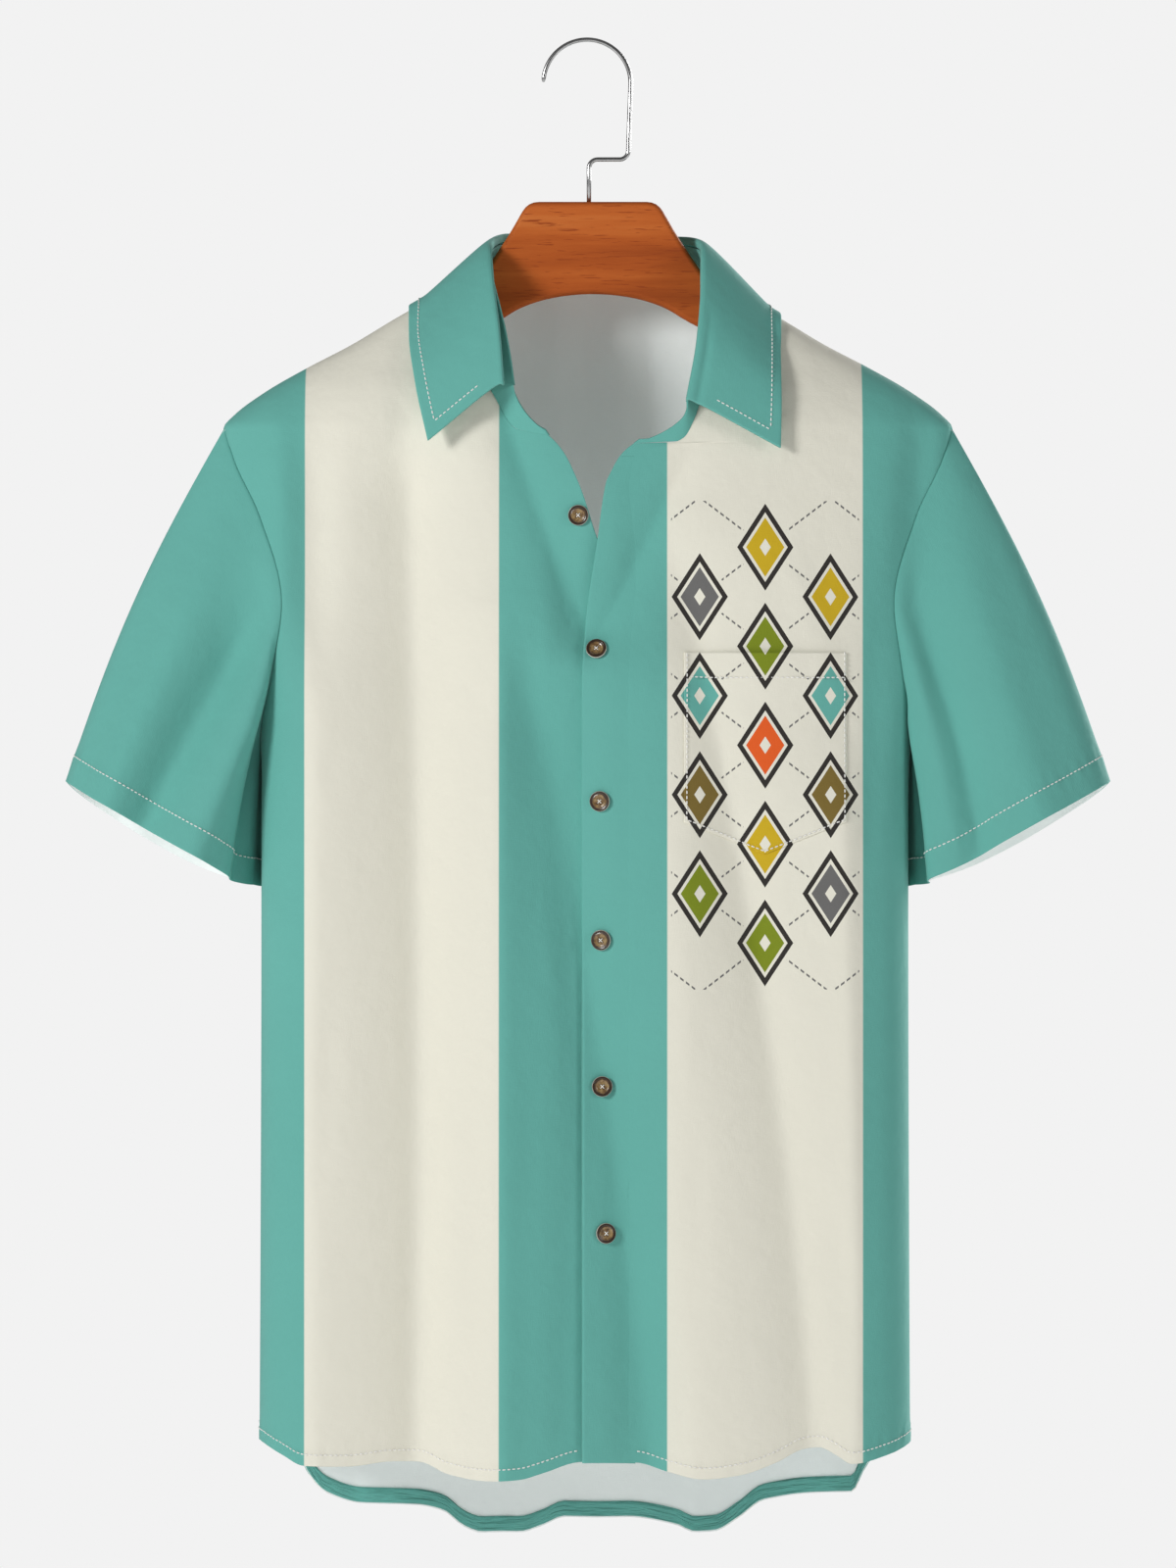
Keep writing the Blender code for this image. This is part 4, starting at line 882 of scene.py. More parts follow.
# %% Lines of the collar, by the place from the right front (0) round the neck to the left (1)
COLLAR_CLOTH = 0.0015     # two layers with interlining
ROLL = 0.0022             # radius of the roll
STAND_TAPER = 0.05        # the stand narrows to its front ends over this length
NECK_MIDDLE = np.array([0.004, -0.01, -0.165])
collar_lines = through(   # place: roll x, y, z, then outer edge x, y, z
    (0.0, -0.0548, -0.06, -0.219, -0.1005, -0.056, -0.2542),
    (0.1, -0.0575, -0.053, -0.185, -0.1085, -0.048, -0.218),
    (0.2, -0.062, -0.035, -0.148, -0.113, -0.026, -0.186),
    (0.28, -0.063, -0.012, -0.1285, -0.1125, -0.006, -0.169),
    (0.38, -0.049, 0.03, -0.119, -0.09, 0.056, -0.166),
    (0.5, 0.005, 0.046, -0.1195, 0.005, 0.068, -0.165),
    (0.62, 0.061, 0.03, -0.121, 0.098, 0.056, -0.166),
    (0.72, 0.0735, -0.012, -0.129, 0.121, -0.006, -0.174),
    (0.8, 0.0735, -0.035, -0.152, 0.1215, -0.026, -0.192),
    (0.9, 0.0705, -0.053, -0.19, 0.1215, -0.048, -0.224),
    (1.0, 0.0635, -0.06, -0.229, 0.1208, -0.056, -0.2588))


def roll_and_edge(place):
    lines = np.moveaxis(collar_lines(place), 0, -1)
    return lines[..., :3], lines[..., 3:]


def roll_frame(place):
    """Unit vectors square to the roll line: outward over the shoulders, and up over its crest."""
    roll, edge = roll_and_edge(place)
    along = unit(roll_and_edge(place + 0.005)[0] - roll_and_edge(place - 0.005)[0])
    outward = edge - roll
    outward[..., 2] = 0
    outward = unit(outward - along * np.sum(outward * along, -1, keepdims=True))
    crest = np.cross(along, outward)
    return outward, crest * np.sign(crest @ np.array([0, -0.5, 1.0]))[..., None]


# %% Keep a surface clear of the body
near_neck = np.meshgrid(np.linspace(NECK_Z, -0.285, 44), np.linspace(0, 2 * math.pi, 180))
BODY_POINTS = torso(near_neck[1], near_neck[0]).reshape(-1, 3)
BODY_NORMALS = torso_normal(near_neck[1], near_neck[0]).reshape(-1, 3)


def push_clear(points, margin, soft=0.004, blend=0.0006):
    """Move points out to `margin` from the body, along normals averaged over `soft` metres.

    The push is a rounded max(0, margin - distance), so it starts without a crease."""
    moved = points.reshape(-1, 3).copy()
    for block in np.array_split(np.arange(len(moved)), len(moved) // 400 + 1):
        gap = moved[block, None] - BODY_POINTS
        square = np.sum(gap ** 2, -1)
        near = np.exp(-(square - square.min(1, keepdims=True)) / soft ** 2)
        near /= near.sum(1, keepdims=True)
        normal = unit(near @ BODY_NORMALS)
        distance = np.sum(near * np.sum(gap * BODY_NORMALS, -1), 1)
        short = margin - distance
        push = (short + np.sqrt(short ** 2 + blend ** 2)) / 2 * ease(
            moved[block, 2], NECK_Z + 0.014, NECK_Z)
        moved[block] += normal * push[:, None]
    return moved.reshape(points.shape)


# %% Stand
down_right = np.linspace(CORNER_RIGHT, -0.154, 70)
down_left = np.linspace(-0.154, CORNER_LEFT, 70)
around_back = np.linspace(1.5 * math.pi, 0.5 * math.pi, 140)
neckline = np.concatenate([torso(angle_at(right_edge(down_right)[0], down_right), down_right),
                           torso(around_back, np.full(len(around_back), NECK_Z)),
                           torso(angle_at(left_edge(down_left)[0], down_left), down_left)])
length = run(neckline, 0)
even = np.linspace(0, length[-1], 220)
base = between_rows(even, length, neckline)
place = np.clip((even - STAND_TAPER) / (even[-1] - 2 * STAND_TAPER), 0, 1)
roll, _ = roll_and_edge(place)
outward, crest = roll_frame(place)
tall = np.minimum(ease(even, -0.004, STAND_TAPER), ease(even[-1] - even, -0.004, STAND_TAPER))
top = roll - outward * (ROLL - COLLAR_CLOTH) - crest * (ROLL * 2.2 + 0.0009)
top = base + (top - base) * np.maximum(tall, 0.1)[:, None]
opened = through((0.0, 0, 0, 0), (0.01, 0.002, 0.0, 0.003), (0.024, 0.0055, 0.002, 0.0045),
                 (0.036, 0.0072, 0.003, 0.002), (0.06, 0.0066, 0.003, 0.0),
                 (0.09, 0.0045, 0.002, 0.0), (0.13, 0.0, 0.0, 0.0))     # the left end, laid open
top = top + np.moveaxis(opened(even), 0, -1)
up_share = spaced(0.035, 0.0025)[:, None, None]
stand_points = base + (top - base) * up_share
stand_in = facing(grid_normal(stand_points), NECK_MIDDLE - stand_points)
collar_stand = cloth("collar_stand", stand_points, stand_in, (teal_cloth, teal_cloth),
                     COLLAR_CLOTH)

# %% Fall
place = spaced(0.46, 0.0024)
roll, edge = roll_and_edge(place)
outward, crest = roll_frame(place)
# the inner side and crest of the roll: steps out and up in radii, and the wall's direction
turn = through((0, -1.0, -2.2, 1.0, 0.0), (1, -1.0, -0.9, 0.9, -0.3),
               (2, -0.55, -0.12, 0.5, -0.8), (3, 0.1, 0.0, 0.0, -1.0))
turns = turn(np.linspace(0, 3, 13))[..., None, None]
rolled = roll + (outward * turns[0] + crest * turns[1]) * ROLL
rolled_in = unit(outward * turns[2] + crest * turns[3])
share = spaced(0.06, 0.0021, near=(0.0, 0.0007, 0.0014, 0.0022))[1:, None, None]
start, reach = rolled[-1], edge - rolled[-1]
leave = outward * 0.016 - crest * 0.002             # the fall leaves the crest flat
fall = (start * (1 + 2 * share) * (1 - share) ** 2 + edge * share ** 2 * (3 - 2 * share)
        + leave * share * (1 - share) ** 2 + reach * 0.9 * share ** 2 * (share - 1))
fall = push_clear(fall, 0.003)
soft_fold = np.exp(-((share - 0.17) / 0.055) ** 2) * ease(place, 0.83, 0.92)[:, None]
collar_points = np.concatenate([rolled, fall])
flat_in = facing(grid_normal(collar_points), np.array([0.004, -0.005, -0.26]) - collar_points)
collar_points[len(rolled):] += flat_in[len(rolled):] * soft_fold * 0.0012
blend = ease(np.arange(len(collar_points)), 10, 20)[:, None, None]
held = np.concatenate([rolled_in, np.broadcast_to(rolled_in[-1], fall.shape)])
collar_in = unit(held * (1 - blend) + flat_in * blend)
to_ends = np.minimum(run(collar_points, 1), run(collar_points, 1, from_end=True))
to_edge = np.minimum(run(collar_points, 0, from_end=True), to_ends)
collar_face = sewn(collar_points, collar_in, to_edge, reach=0.0016, depth=0.0005)
collar = cloth("collar", collar_face, collar_in, (teal_cloth, teal_cloth), COLLAR_CLOTH)

# %% [markdown]
# ## Placket, pocket and the hem inside the back
#
# These pieces lie on a panel, so they are made from the same surface, a little further out or
# in. The placket is a folded band: thick at the opening's edge and nearly flush where it joins
# the front. The patch pocket is sewn down along its sides and pointed bottom, and stands off
# the chest a little in between, most of all at its mouth. Inside the back, below the fronts'
# hems, shows the turned hem, whose face is the printed one.

# %% Placket
def on_panel(x, z, lift):
    """Points `lift` off the body's surface at (x, z), and the directions to its inside."""
    angle = angle_at(x, z)
    normal = torso_normal(angle, z)
    return torso(angle, z) + normal * np.asarray(lift)[..., None], -normal


PLACKET_TOP = -0.264
PLACKET_RISE, PLACKET_GAIN = 0.0009, 0.0007     # off the front at the neck, and more below it
down = spaced(0.63, 0.003)[:, None]
across = spaced(PLACKET_WIDTH, 0.002) + 0 * down
z = PLACKET_TOP + (HEM_START - PLACKET_TOP) * down
x = left_edge(z)[0] + PLACKET_WIDTH * ease(z, -0.23, -0.36) * across
hem = front_hem(x)[0] - 0.0006      # it just covers the edge of the front's hem
z = PLACKET_TOP + (hem - PLACKET_TOP) * down
x = left_edge(z)[0] + PLACKET_WIDTH * (0.35 + 0.65 * ease(z, -0.24, -0.36)) * across
full = PLACKET_RISE + PLACKET_GAIN * ease(z, -0.28, -0.34)
lift = full * ease(across, 1.0, 0.3) * ease(down, 0.0, 0.03) - 0.0002 * ease(across, 0.6, 1.0)
placket_points, placket_in = on_panel(x, z, lift)
from_opening = run(placket_points, 1)
placket_points = sewn(placket_points, placket_in, from_opening, reach=0.0012, depth=0.0005)
placket = cloth("placket", placket_points, placket_in, (teal_cloth, pale_reverse_glowing),
                np.clip(lift * 0.75, 0.0002, 0.0008), uv=np.stack([x, z], -1))

# %% Pocket
POCKET_OFF, POCKET_PLAY, POCKET_MOUTH = 0.0011, 0.0007, 0.0014  # edge, middle, mouth
POCKET_WIDTH = POCKET_RIGHT - POCKET_LEFT
across, down = np.meshgrid(spaced(POCKET_WIDTH, 0.0022), spaced(0.12, 0.0022))
x = POCKET_LEFT + POCKET_WIDTH * across
pocket_end = POCKET_POINT + (POCKET_SIDE - POCKET_POINT) * np.abs(2 * across - 1)
z = POCKET_TOP + (pocket_end - POCKET_TOP) * down
from_edge = np.minimum(np.minimum(x - POCKET_LEFT, POCKET_RIGHT - x), z - pocket_end)
stand_off = POCKET_OFF + POCKET_PLAY * ease(from_edge, 0.0, 0.02)
stand_off += POCKET_MOUTH * np.exp(-((across - 0.5) / 0.26) ** 2) * ease(down, 0.35, 0.0)
pocket_points, pocket_in = on_panel(x, z, stand_off)
pocket_points = sewn(pocket_points, pocket_in, from_edge, reach=0.0014, depth=0.0005)
pocket = cloth("pocket", pocket_points, pocket_in, (striped_cloth, pale_reverse_glowing), 0.0008,
               uv=np.stack([x, z], -1))

# %% Turned hem inside the back
column = np.arange(back_up.shape[1])[6:-6]
hem_rows = np.linspace(BACK_FOLD, 0, 7)
row_number = np.arange(len(back_up))[::-1]
strip = np.stack([np.interp(hem_rows, back_up[::-1, c], row_number) for c in column], -1)
low = np.minimum(np.floor(strip).astype(int), len(back_up) - 2)
share = (strip % 1)[..., None]


def on_back(grid):
    """The values of the back's grid at the places of the strip."""
    return grid[low, column] * (1 - share) + grid[low + 1, column] * share


hem_in = unit(on_back(back_in))
back_hem = cloth("back_hem", on_back(back_points) + hem_in * (CLOTH + 0.00005), hem_in,
                 (hem_cloth, hem_cloth))

# %% [markdown]
# ## Stitches
#
# Sewn seams show as a row of short threads that dip into the cloth between one hole and the
# next. Drawing them as a texture would need a map for each edge. Here each row is a line found
# on the panel's own grid, at a set distance from its edge, and one small thread with few faces
# is repeated along it, so hundreds of stitches stay light.

# %% Lines at a distance from an edge
def inset(points, normals, distance, axis, from_end=False):
    """The line `distance` from a grid's edge, counted along axis: its points and normals."""
    if axis == 1:
        points, normals = points.swapaxes(0, 1), normals.swapaxes(0, 1)
    if from_end:
        points, normals = points[::-1], normals[::-1]
    length = run(points, 0)
    after = np.clip((length < distance).sum(0), 1, len(points) - 1)
    column = np.arange(points.shape[1])
    before = length[after - 1, column]
    t = ((distance - before) / (length[after, column] - before))[:, None]
    mixed = [grid[after - 1, column] * (1 - t) + grid[after, column] * t
             for grid in (points, normals)]
    return mixed[0], unit(mixed[1])


STITCH, PITCH, THREAD = 0.0022, 0.0032, 0.00042
THREAD_SHAPE = [   # along it in stitches; half width and height of its middle in threads
    (-0.5, 0.35, -0.2), (-0.32, 1.0, 0.7), (0.32, 1.0, 0.7), (0.5, 0.35, -0.2)]


def stitch_row(points, normals, keep=None, closed=False):
    """Threads along a line: positions of all their points, (stitches, 16, 3)."""
    if closed:
        points, normals = [np.concatenate([a, a[:1]]) for a in (points, normals)]
    length = run(points, 0)
    middle = np.arange(PITCH / 2, length[-1], PITCH)
    centre = between_rows(middle, length, points)
    normal = unit(between_rows(middle, length, normals))
    along = unit(between_rows(middle + PITCH / 2, length, points)
                 - between_rows(middle - PITCH / 2, length, points))
    if keep is not None:
        chosen = keep(centre)
        centre, normal, along = centre[chosen], normal[chosen], along[chosen]
    side = np.cross(normal, along)
    ring = np.array([(1.0, 0.0), (0.0, 1.0), (-1.0, 0.0), (0.0, -1.0)]) * THREAD
    parts = []
    for place, width, height in THREAD_SHAPE:
        for across, up in ring * width:
            parts.append(centre + along * place * STITCH + side * across
                         + normal * (up + height * THREAD))
    return np.stack(parts, 1)


def make_stitches(name, rows, finish):
    """One mesh of all the threads in `rows`."""
    threads = np.concatenate(rows)
    one = np.concatenate([quads(4, 4, closed=True), [[0, 1, 2, 3], [15, 14, 13, 12]]])
    faces = (one[None] + 16 * np.arange(len(threads))[:, None, None]).reshape(-1, 4)
    made = make_mesh(name, threads.reshape(-1, 3), faces, (finish,))
    print(f"{name}: {len(threads)} stitches, {2 * len(faces)} triangles")
    return made


# %% Thread and the rows of stitches
thread = Finish("sewing thread", roughness=0.7, sheen_weight=0.1, specular_ior_level=0.3)
shade = thread.place.noise(900.0, 1.0)
thread.feed("Base Color", shade.mix((0.88, 0.87, 0.83), (0.95, 0.94, 0.91)))

EDGE_STITCH = 0.0078      # inside the collar's edges
rows = []
line, normal = inset(collar_face, -collar_in, EDGE_STITCH, 0, from_end=True)
along = run(line, 0)
kept = (along > EDGE_STITCH) & (along < along[-1] - EDGE_STITCH)
rows.append(stitch_row(line[kept], normal[kept]))
for from_end in (False, True):
    line, normal = inset(collar_face, -collar_in, EDGE_STITCH, 1, from_end)
    kept = (run(line, 0, from_end=True) > EDGE_STITCH) & (np.arange(len(line)) > 24)
    rows.append(stitch_row(line[kept], normal[kept]))
collar_stitches = make_stitches("collar_stitches", rows, thread)

rows = [stitch_row(*inset(grid, -into, SLEEVE_FOLD, 0, from_end=True), closed=True)
        for grid, into in ((left_sleeve_points, left_sleeve_in),
                           (right_sleeve_points, right_sleeve_in))]
rows.append(stitch_row(*inset(left_plain, -left_in, HEM_FOLD, 0, from_end=True),
                       keep=lambda p: p[:, 0] > left_edge(p[:, 2])[0] + PLACKET_WIDTH))
rows.append(stitch_row(*inset(right_plain, -right_in, HEM_FOLD, 0, from_end=True),
                       keep=lambda p: p[:, 0] < -0.007))
rows.append(stitch_row(*inset(back_plain, -back_in, BACK_FOLD, 0, from_end=True)))
hem_stitches = make_stitches("hem_stitches", rows, thread)

POCKET_STITCH, POCKET_HEM = 0.0015, 0.0155      # inside its sides, below its mouth
left_x, right_x = POCKET_LEFT + POCKET_STITCH, POCKET_RIGHT - POCKET_STITCH
side_z, point_z = POCKET_SIDE + 0.0013, POCKET_POINT + 0.0021
corners = np.array([(left_x, POCKET_TOP), (left_x, side_z),
                    ((POCKET_LEFT + POCKET_RIGHT) / 2, point_z),
                    (right_x, side_z), (right_x, POCKET_TOP)])
place = np.linspace(0, 4, 240)
x, z = between_rows(place, np.arange(5), corners).T
sides, sides_in = on_panel(x, z, np.full(240, 0.0013))
hem_x = np.linspace(left_x + 0.001, right_x - 0.001, 90)
in_hem = np.abs(2 * (hem_x - POCKET_LEFT) / POCKET_WIDTH - 1) * 0.5 + 0.5
hem_lift = POCKET_OFF + POCKET_PLAY + POCKET_MOUTH * np.exp(
    -((in_hem - 1.0) / 0.52) ** 2) * ease(0.13, 0.35, 0.0)
hem_line, hem_line_in = on_panel(hem_x, np.full(90, POCKET_TOP - POCKET_HEM), hem_lift)
pocket_stitches = make_stitches("pocket_stitches", [stitch_row(sides, -sides_in),
                                                    stitch_row(hem_line, -hem_line_in)], thread)

# %% [markdown]
# ## Buttons
#
# A shirt button is turned from horn: a rounded rim, a dished middle and four holes, crossed by
# the thread that sews it on. One disc is worked out in polar coordinates, its height a sum of
# the rim's curve, the dish and four small pits, and it is set on the cloth at each place.

# %% Button shape
BUTTON_RADIUS, BUTTON_THICK = 0.0065, 0.0022
RIM_START, POLE = 0.006, 0.0001                 # radii; a tiny ring stands for the middle
DISH, GROOVE, PIT = 0.00045, 0.00016, 0.0008    # how deep these go
BAR_RADIUS, BAR_RISE = 0.00026, 0.00045         # of a bar of sewing thread
BUTTONS = [   # x, z and the front that it is sewn on
    (-0.0062, -0.301, "right"), (0.0056, -0.386, "left"), (0.008, -0.48, "left"),
    (0.009, -0.567, "left"), (0.0086, -0.659, "left"), (0.0104, -0.751, "left")]
HOLE_AT, HOLE_RADIUS = 0.00165, 0.00062
ON_PLACKET, ON_FRONT = 0.0015, 0.0002           # from the body's surface to the underside


def button_surface():
    """Height over radius: a rim as a quarter circle, a dish inside it, four pits; then the
    underside.  Returns (rings, sectors, 3), from the middle of the top to that of the bottom."""
    turn = np.linspace(0, 2 * math.pi, 64, endpoint=False)
    radius = np.concatenate([np.linspace(POLE, 0.0046, 24),
                             np.linspace(0.0048, RIM_START, 8)])
    x, y = radius[:, None] * np.cos(turn), radius[:, None] * np.sin(turn)
    dish = DISH * ease(radius, 0.0044, 0.003)[:, None]
    groove = GROOVE * np.exp(-((radius - 0.0047) / 0.0003) ** 2)[:, None]
    pits = sum(np.exp(-(((x - HOLE_AT * a) ** 2 + (y - HOLE_AT * b) ** 2) / HOLE_RADIUS ** 2) ** 2)
               for a in (-0.707, 0.707) for b in (-0.707, 0.707))
    height = BUTTON_THICK - dish - groove - PIT * pits
    top = np.stack([x, y, height], -1)
    curve = np.linspace(0, math.pi / 2, 8)[1:, None]
    rim_radius = RIM_START + (BUTTON_RADIUS - RIM_START) * np.sin(curve)
    rim_height = BUTTON_THICK - 0.0007 * (1 - np.cos(curve))
    underside = [(0.0064, 0.0008), (0.0056, 0.0001), (POLE, 0.0)]      # radius, height
    r, h = np.concatenate([np.hstack([rim_radius, rim_height]), underside]).T[..., None]
    rings = np.stack([r * np.cos(turn), r * np.sin(turn), h + 0 * turn], -1)
    return np.concatenate([top, rings])


def thread_cross():
    """Two crossed threads over the holes: bent round bars, (stations, sides, 3) each."""
    bars = []
    along = np.linspace(-1, 1, 12)
    around = np.linspace(0, 2 * math.pi, 8, endpoint=False)
    for turn in (math.pi / 4, -math.pi / 4):
        middle = np.stack([HOLE_AT * along * math.cos(turn), HOLE_AT * along * math.sin(turn),
                           BUTTON_THICK - 0.0004 + BAR_RISE * np.sqrt(1 - along ** 2) ** 0.7], -1)
        side = np.array([-math.sin(turn), math.cos(turn), 0.0])
        ring = np.cos(around)[:, None] * side + np.sin(around)[:, None] * np.array([0, 0, 1.0])
        bars.append(middle[:, None] + BAR_RADIUS * ring)
    return bars


horn = Finish("horn", roughness=0.28, coat_weight=0.35, coat_roughness=0.12)
from_middle = horn.uv.node("ShaderNodeVectorMath", {"operation": "LENGTH"}, {0: horn.uv}, output=1)
blotch = horn.place.noise(420.0, 3.0, 0.6)
dark = blotch * 0.9 + from_middle.between(0.0046, 0.0062, 0.0007) * 0.45
body = dark.node("ShaderNodeValToRGB", {"stops": [
    (0.3, (0.36, 0.25, 0.11)), (0.5, (0.17, 0.095, 0.035)), (0.72, (0.035, 0.018, 0.009))]},
    {"Fac": dark})
# A pale ring round the outer rim: a painted highlight, where light catches the button's rounded
# edge.
rim_painted_highlight = from_middle.between(0.00625, 0.02, 0.0001)
horn.feed("Base Color", rim_painted_highlight.mix(body, (0.52, 0.5, 0.44)))

# %% Buttons in their places
disc, cross = button_surface(), thread_cross()
button_objects, bars = [], []
around = np.linspace(0, 2 * math.pi, 32, endpoint=False)
for number, (x, z, side) in enumerate(BUTTONS, 1):
    x, z = np.array([x]), np.array([z])
    rim_z = z + BUTTON_RADIUS * np.sin(around)
    rim_angle = angle_at(x + BUTTON_RADIUS * np.cos(around), rim_z)
    normal = unit(torso_normal(rim_angle, rim_z).mean(0))
    middle = torso(angle_at(x, z), z)[0]
    rise = max(0.0, float(((torso(rim_angle, rim_z) - middle) @ normal).max()))
    layers = ON_PLACKET if side == "left" else ON_FRONT - float(under(x, z)[0])
    place = middle + normal * (rise + layers)
    across = unit(np.cross(np.array([0, 0, 1.0]), normal))
    frame_of_button = np.stack([across, np.cross(normal, across), normal])
    button_objects.append(ring_solid(f"button_{number}", disc @ frame_of_button + place, horn,
                                     uv=disc.reshape(-1, 3)[:, :2]))
    bars += [bar.reshape(-1, 3) @ frame_of_button + place for bar in cross]
# a bar's end is an octagon, covered by three faces
stations, sides = cross[0].shape[:2]
bar_faces = np.concatenate([quads(stations, sides, closed=True),
                            [[3, 2, 1, 0], [7, 4, 3, 0], [6, 5, 4, 7]],
                            (stations - 1) * sides
                            + np.array([[0, 1, 2, 3], [0, 3, 4, 7], [7, 4, 5, 6]])])
button_threads = make_mesh(
    "button_threads", np.concatenate(bars),
    np.concatenate([bar_faces + stations * sides * i for i in range(len(bars))]), (thread,))
print(f"{len(button_objects)} buttons, {len(bars)} bars of thread")

# %% [markdown]
# ## Hanger and hook
#
# The hanger is a board of stained wood: a block that shows in the neck and two arms that carry
# the shoulders. Its outline is drawn flat, given its thickness, and bevelled as a router would.
# Wood shows long streaks along the board, so its colour is noise stretched sideways. The hook
# is drawn wire, a circle carried along a bent path.

# %% Board
HANGER_X, HANGER_HALF_THICK, HANGER_REACH = 0.003, 0.005, 0.216
ARCH_HALF, ARCH_FOOT, ARCH_RISE = 0.065, -0.19, 0.0307     # the underside between the arms
SHIRT_GAP, BLOCK_GAP = 0.0075, 0.003       # under the ridge, and more of it beside the block
CORNER_CUT = 0.007


def arm_top(x):
    """Height of an arm's upper edge, just under the shirt's shoulder ridge at x."""
    levels = np.linspace(NECK_Z, TIP_Z, 60)
    ridge = np.interp(np.abs(x), section(levels)[0], levels)
    return ridge - SHIRT_GAP - BLOCK_GAP * (1 - ease(np.abs(x), 0.085, 0.13))


def round_corners(loop, cut, steps=5):
    """Replace each corner of a closed loop by a parabola that starts `cut` before it."""
    before, after = np.roll(loop, 1, 0) - loop, np.roll(loop, -1, 0) - loop
    lengths = [np.linalg.norm(v, axis=1, keepdims=True) for v in (before, after)]
    start = loop + before / lengths[0] * np.minimum(cut, lengths[0] * 0.45)
    end = loop + after / lengths[1] * np.minimum(cut, lengths[1] * 0.45)
    t = np.linspace(0, 1, steps)[None, :, None]
    return (start[:, None] * (1 - t) ** 2 + loop[:, None] * 2 * t * (1 - t)
            + end[:, None] * t ** 2).reshape(-1, 2)


arm_x = np.linspace(0.086, HANGER_REACH, 9)
tip_z = float(arm_top(HANGER_REACH))
block = np.array([(0.041, -0.1011), (0.053, -0.1221), (0.066, -0.1415), (0.0745, -0.153)])
arm = np.concatenate([np.stack([arm_x, arm_top(arm_x)], -1), [
    (HANGER_REACH + 0.002, tip_z - 0.007), (HANGER_REACH - 0.003, tip_z - 0.014),
    (0.15, float(arm_top(0.15)) - 0.02), (0.095, float(arm_top(0.095)) - 0.024)]])
left_half, right_half = [np.concatenate([block * (side, 1) + (HANGER_X, 0), arm * (side, 1)])
                         for side in (-1, 1)]
turn = np.linspace(-1.05, 1.05, 13)
arch = np.stack([HANGER_X + ARCH_HALF * np.sin(turn), ARCH_FOOT + ARCH_RISE * np.cos(turn)], -1)
outline = round_corners(np.concatenate([left_half, arch, right_half[::-1]]), CORNER_CUT)
inward = unit(np.roll(outline, -1, 0) - np.roll(outline, 1, 0))[:, ::-1] * (-1, 1)
inset_by, depth = np.array([(0.0036, 1.0), (0.003, 1.0), (0.002, 0.93), (0.0011, 0.78),
                            (0.0004, 0.55), (0.0, 0.25)]).T
inset_by, depth = np.append(inset_by, inset_by[::-1]), np.append(-depth, depth[::-1])
flat = outline + inward * inset_by[:, None, None]
board = np.insert(flat, 1, 0.0, axis=-1)
board[..., 1] = (depth * HANGER_HALF_THICK)[:, None]

wood = Finish("stained wood", roughness=0.6, specular_ior_level=0.12)
streak = wood.place.stretch(5.0, 60.0, 75.0).noise(1.0, 5.0, 0.6)
wander = wood.place.stretch(2.0, 9.0, 14.0).noise(1.0, 2.0)
pore = wood.place.stretch(70.0, 900.0, 1100.0).noise(1.0, 2.0)
tone = streak * 0.62 + wander * 0.38
grain_colour = tone.node("ShaderNodeValToRGB", {"stops": [
    (0.32, (0.33, 0.062, 0.012)), (0.47, (0.47, 0.1, 0.018)), (0.58, (0.56, 0.135, 0.026)),
    (0.72, (0.64, 0.19, 0.045))]}, {"Fac": tone})
wood.feed("Base Color", pore.between(0.0, 0.36, 0.03).mix(grain_colour, (0.33, 0.062, 0.013)))
wood.bump(streak * 0.5 + pore * 0.5, 0.0002)
hanger = ring_solid("hanger", board, wood)

# %% Hook
WIRE_RADIUS = 0.0014
wire_bend, jog_z, corner, stem_x = 0.0276, -0.0742, 0.0055, 0.0006
centre = (-0.0006, 0.0016 - wire_bend)


def arc(middle, radius, start, stop, steps):
    """Points on a circle in the xz plane, by angles in degrees from +x towards +z."""
    angle = np.radians(np.linspace(start, stop, steps))
    return np.stack([middle[0] + radius * np.cos(angle), middle[1] + radius * np.sin(angle)], -1)


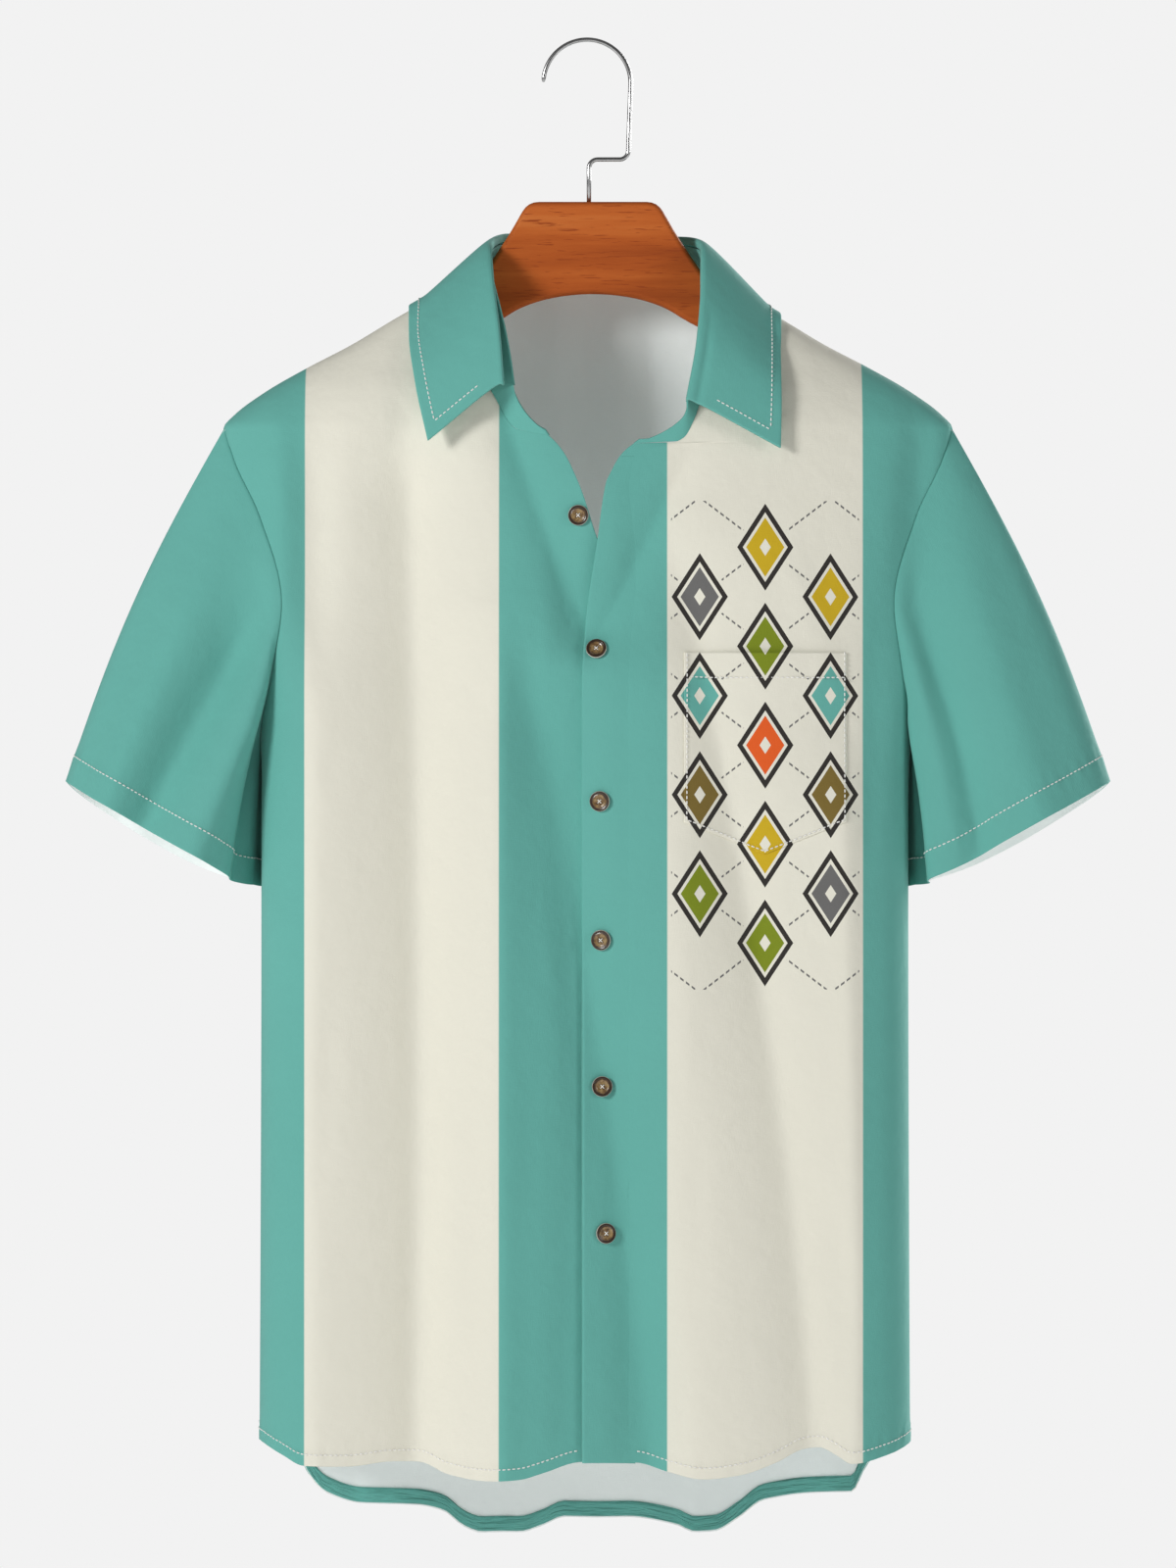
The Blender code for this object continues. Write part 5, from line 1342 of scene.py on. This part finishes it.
side_x = centre[0] + wire_bend
path = np.concatenate([
    arc(centre, wire_bend, 178, 0, 60),
    arc((side_x - 0.0015 - corner, jog_z + corner), corner, 0, -90, 12),
    arc((stem_x + corner, jog_z - corner), corner, 90, 180, 12),
    [(stem_x, jog_z - 2 * corner), (stem_x, -0.106)]])
path = np.insert(path, 1, 0.0, axis=1)
along = unit(np.gradient(path, axis=0))
side = np.cross(along, (0, 1.0, 0))
turn = np.linspace(0, 2 * math.pi, 16, endpoint=False)
taper = np.ones(len(path))
taper[:3] = (0.55, 0.86, 1.0)
tube = path[:, None] + (WIRE_RADIUS * taper)[:, None, None] * (
    side[:, None] * np.cos(turn)[:, None] + np.array([0, 1.0, 0]) * np.sin(turn)[:, None])
steel = Finish("bright wire", metallic=1.0, roughness=0.22)
scuff = steel.place.noise(300.0, 2.0)
steel.feed("Base Color", scuff.mix((0.36, 0.36, 0.36), (0.6, 0.6, 0.6)))
hook = ring_solid("hook", tube, steel)
print(f"board outline of {len(outline)} points, wire of {len(path)} stations")

# %% [markdown]
# ## Joining the pieces to the frame
#
# The solid model under this scene already carries the shirt's collisions. Each piece made here
# rides on its one body and stands for the solid of the same name. Stitches and button threads
# stand for none: they ride along. The panels are wider than the part of the torso they cover,
# by the cloth that lies in their folds.

# %% Riding on the frame
pieces = [(front_left, "striped_cloth"), (front_right, "striped_cloth"),
          (back, "striped_cloth"), (sleeve_left, "teal_cloth"), (sleeve_right, "teal_cloth"),
          (collar, "teal_cloth"), (collar_stand, "teal_cloth"), (placket, "teal_cloth"),
          (pocket, "cream_cloth"), (back_hem, "teal_cloth"), (hanger, "wood"), (hook, "wire")]
pieces += [(button, "button") for button in button_objects]
for piece, slot in pieces:
    node = piece.name.split(".")[0]
    piece.name = node + "_dressed"
    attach(piece, "root")
    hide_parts(node)
for piece in (collar_stitches, hem_stitches, pocket_stitches, button_threads):
    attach(piece, "root")
print(f"{len(pieces)} pieces stand for the model's {len(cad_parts)} nodes")
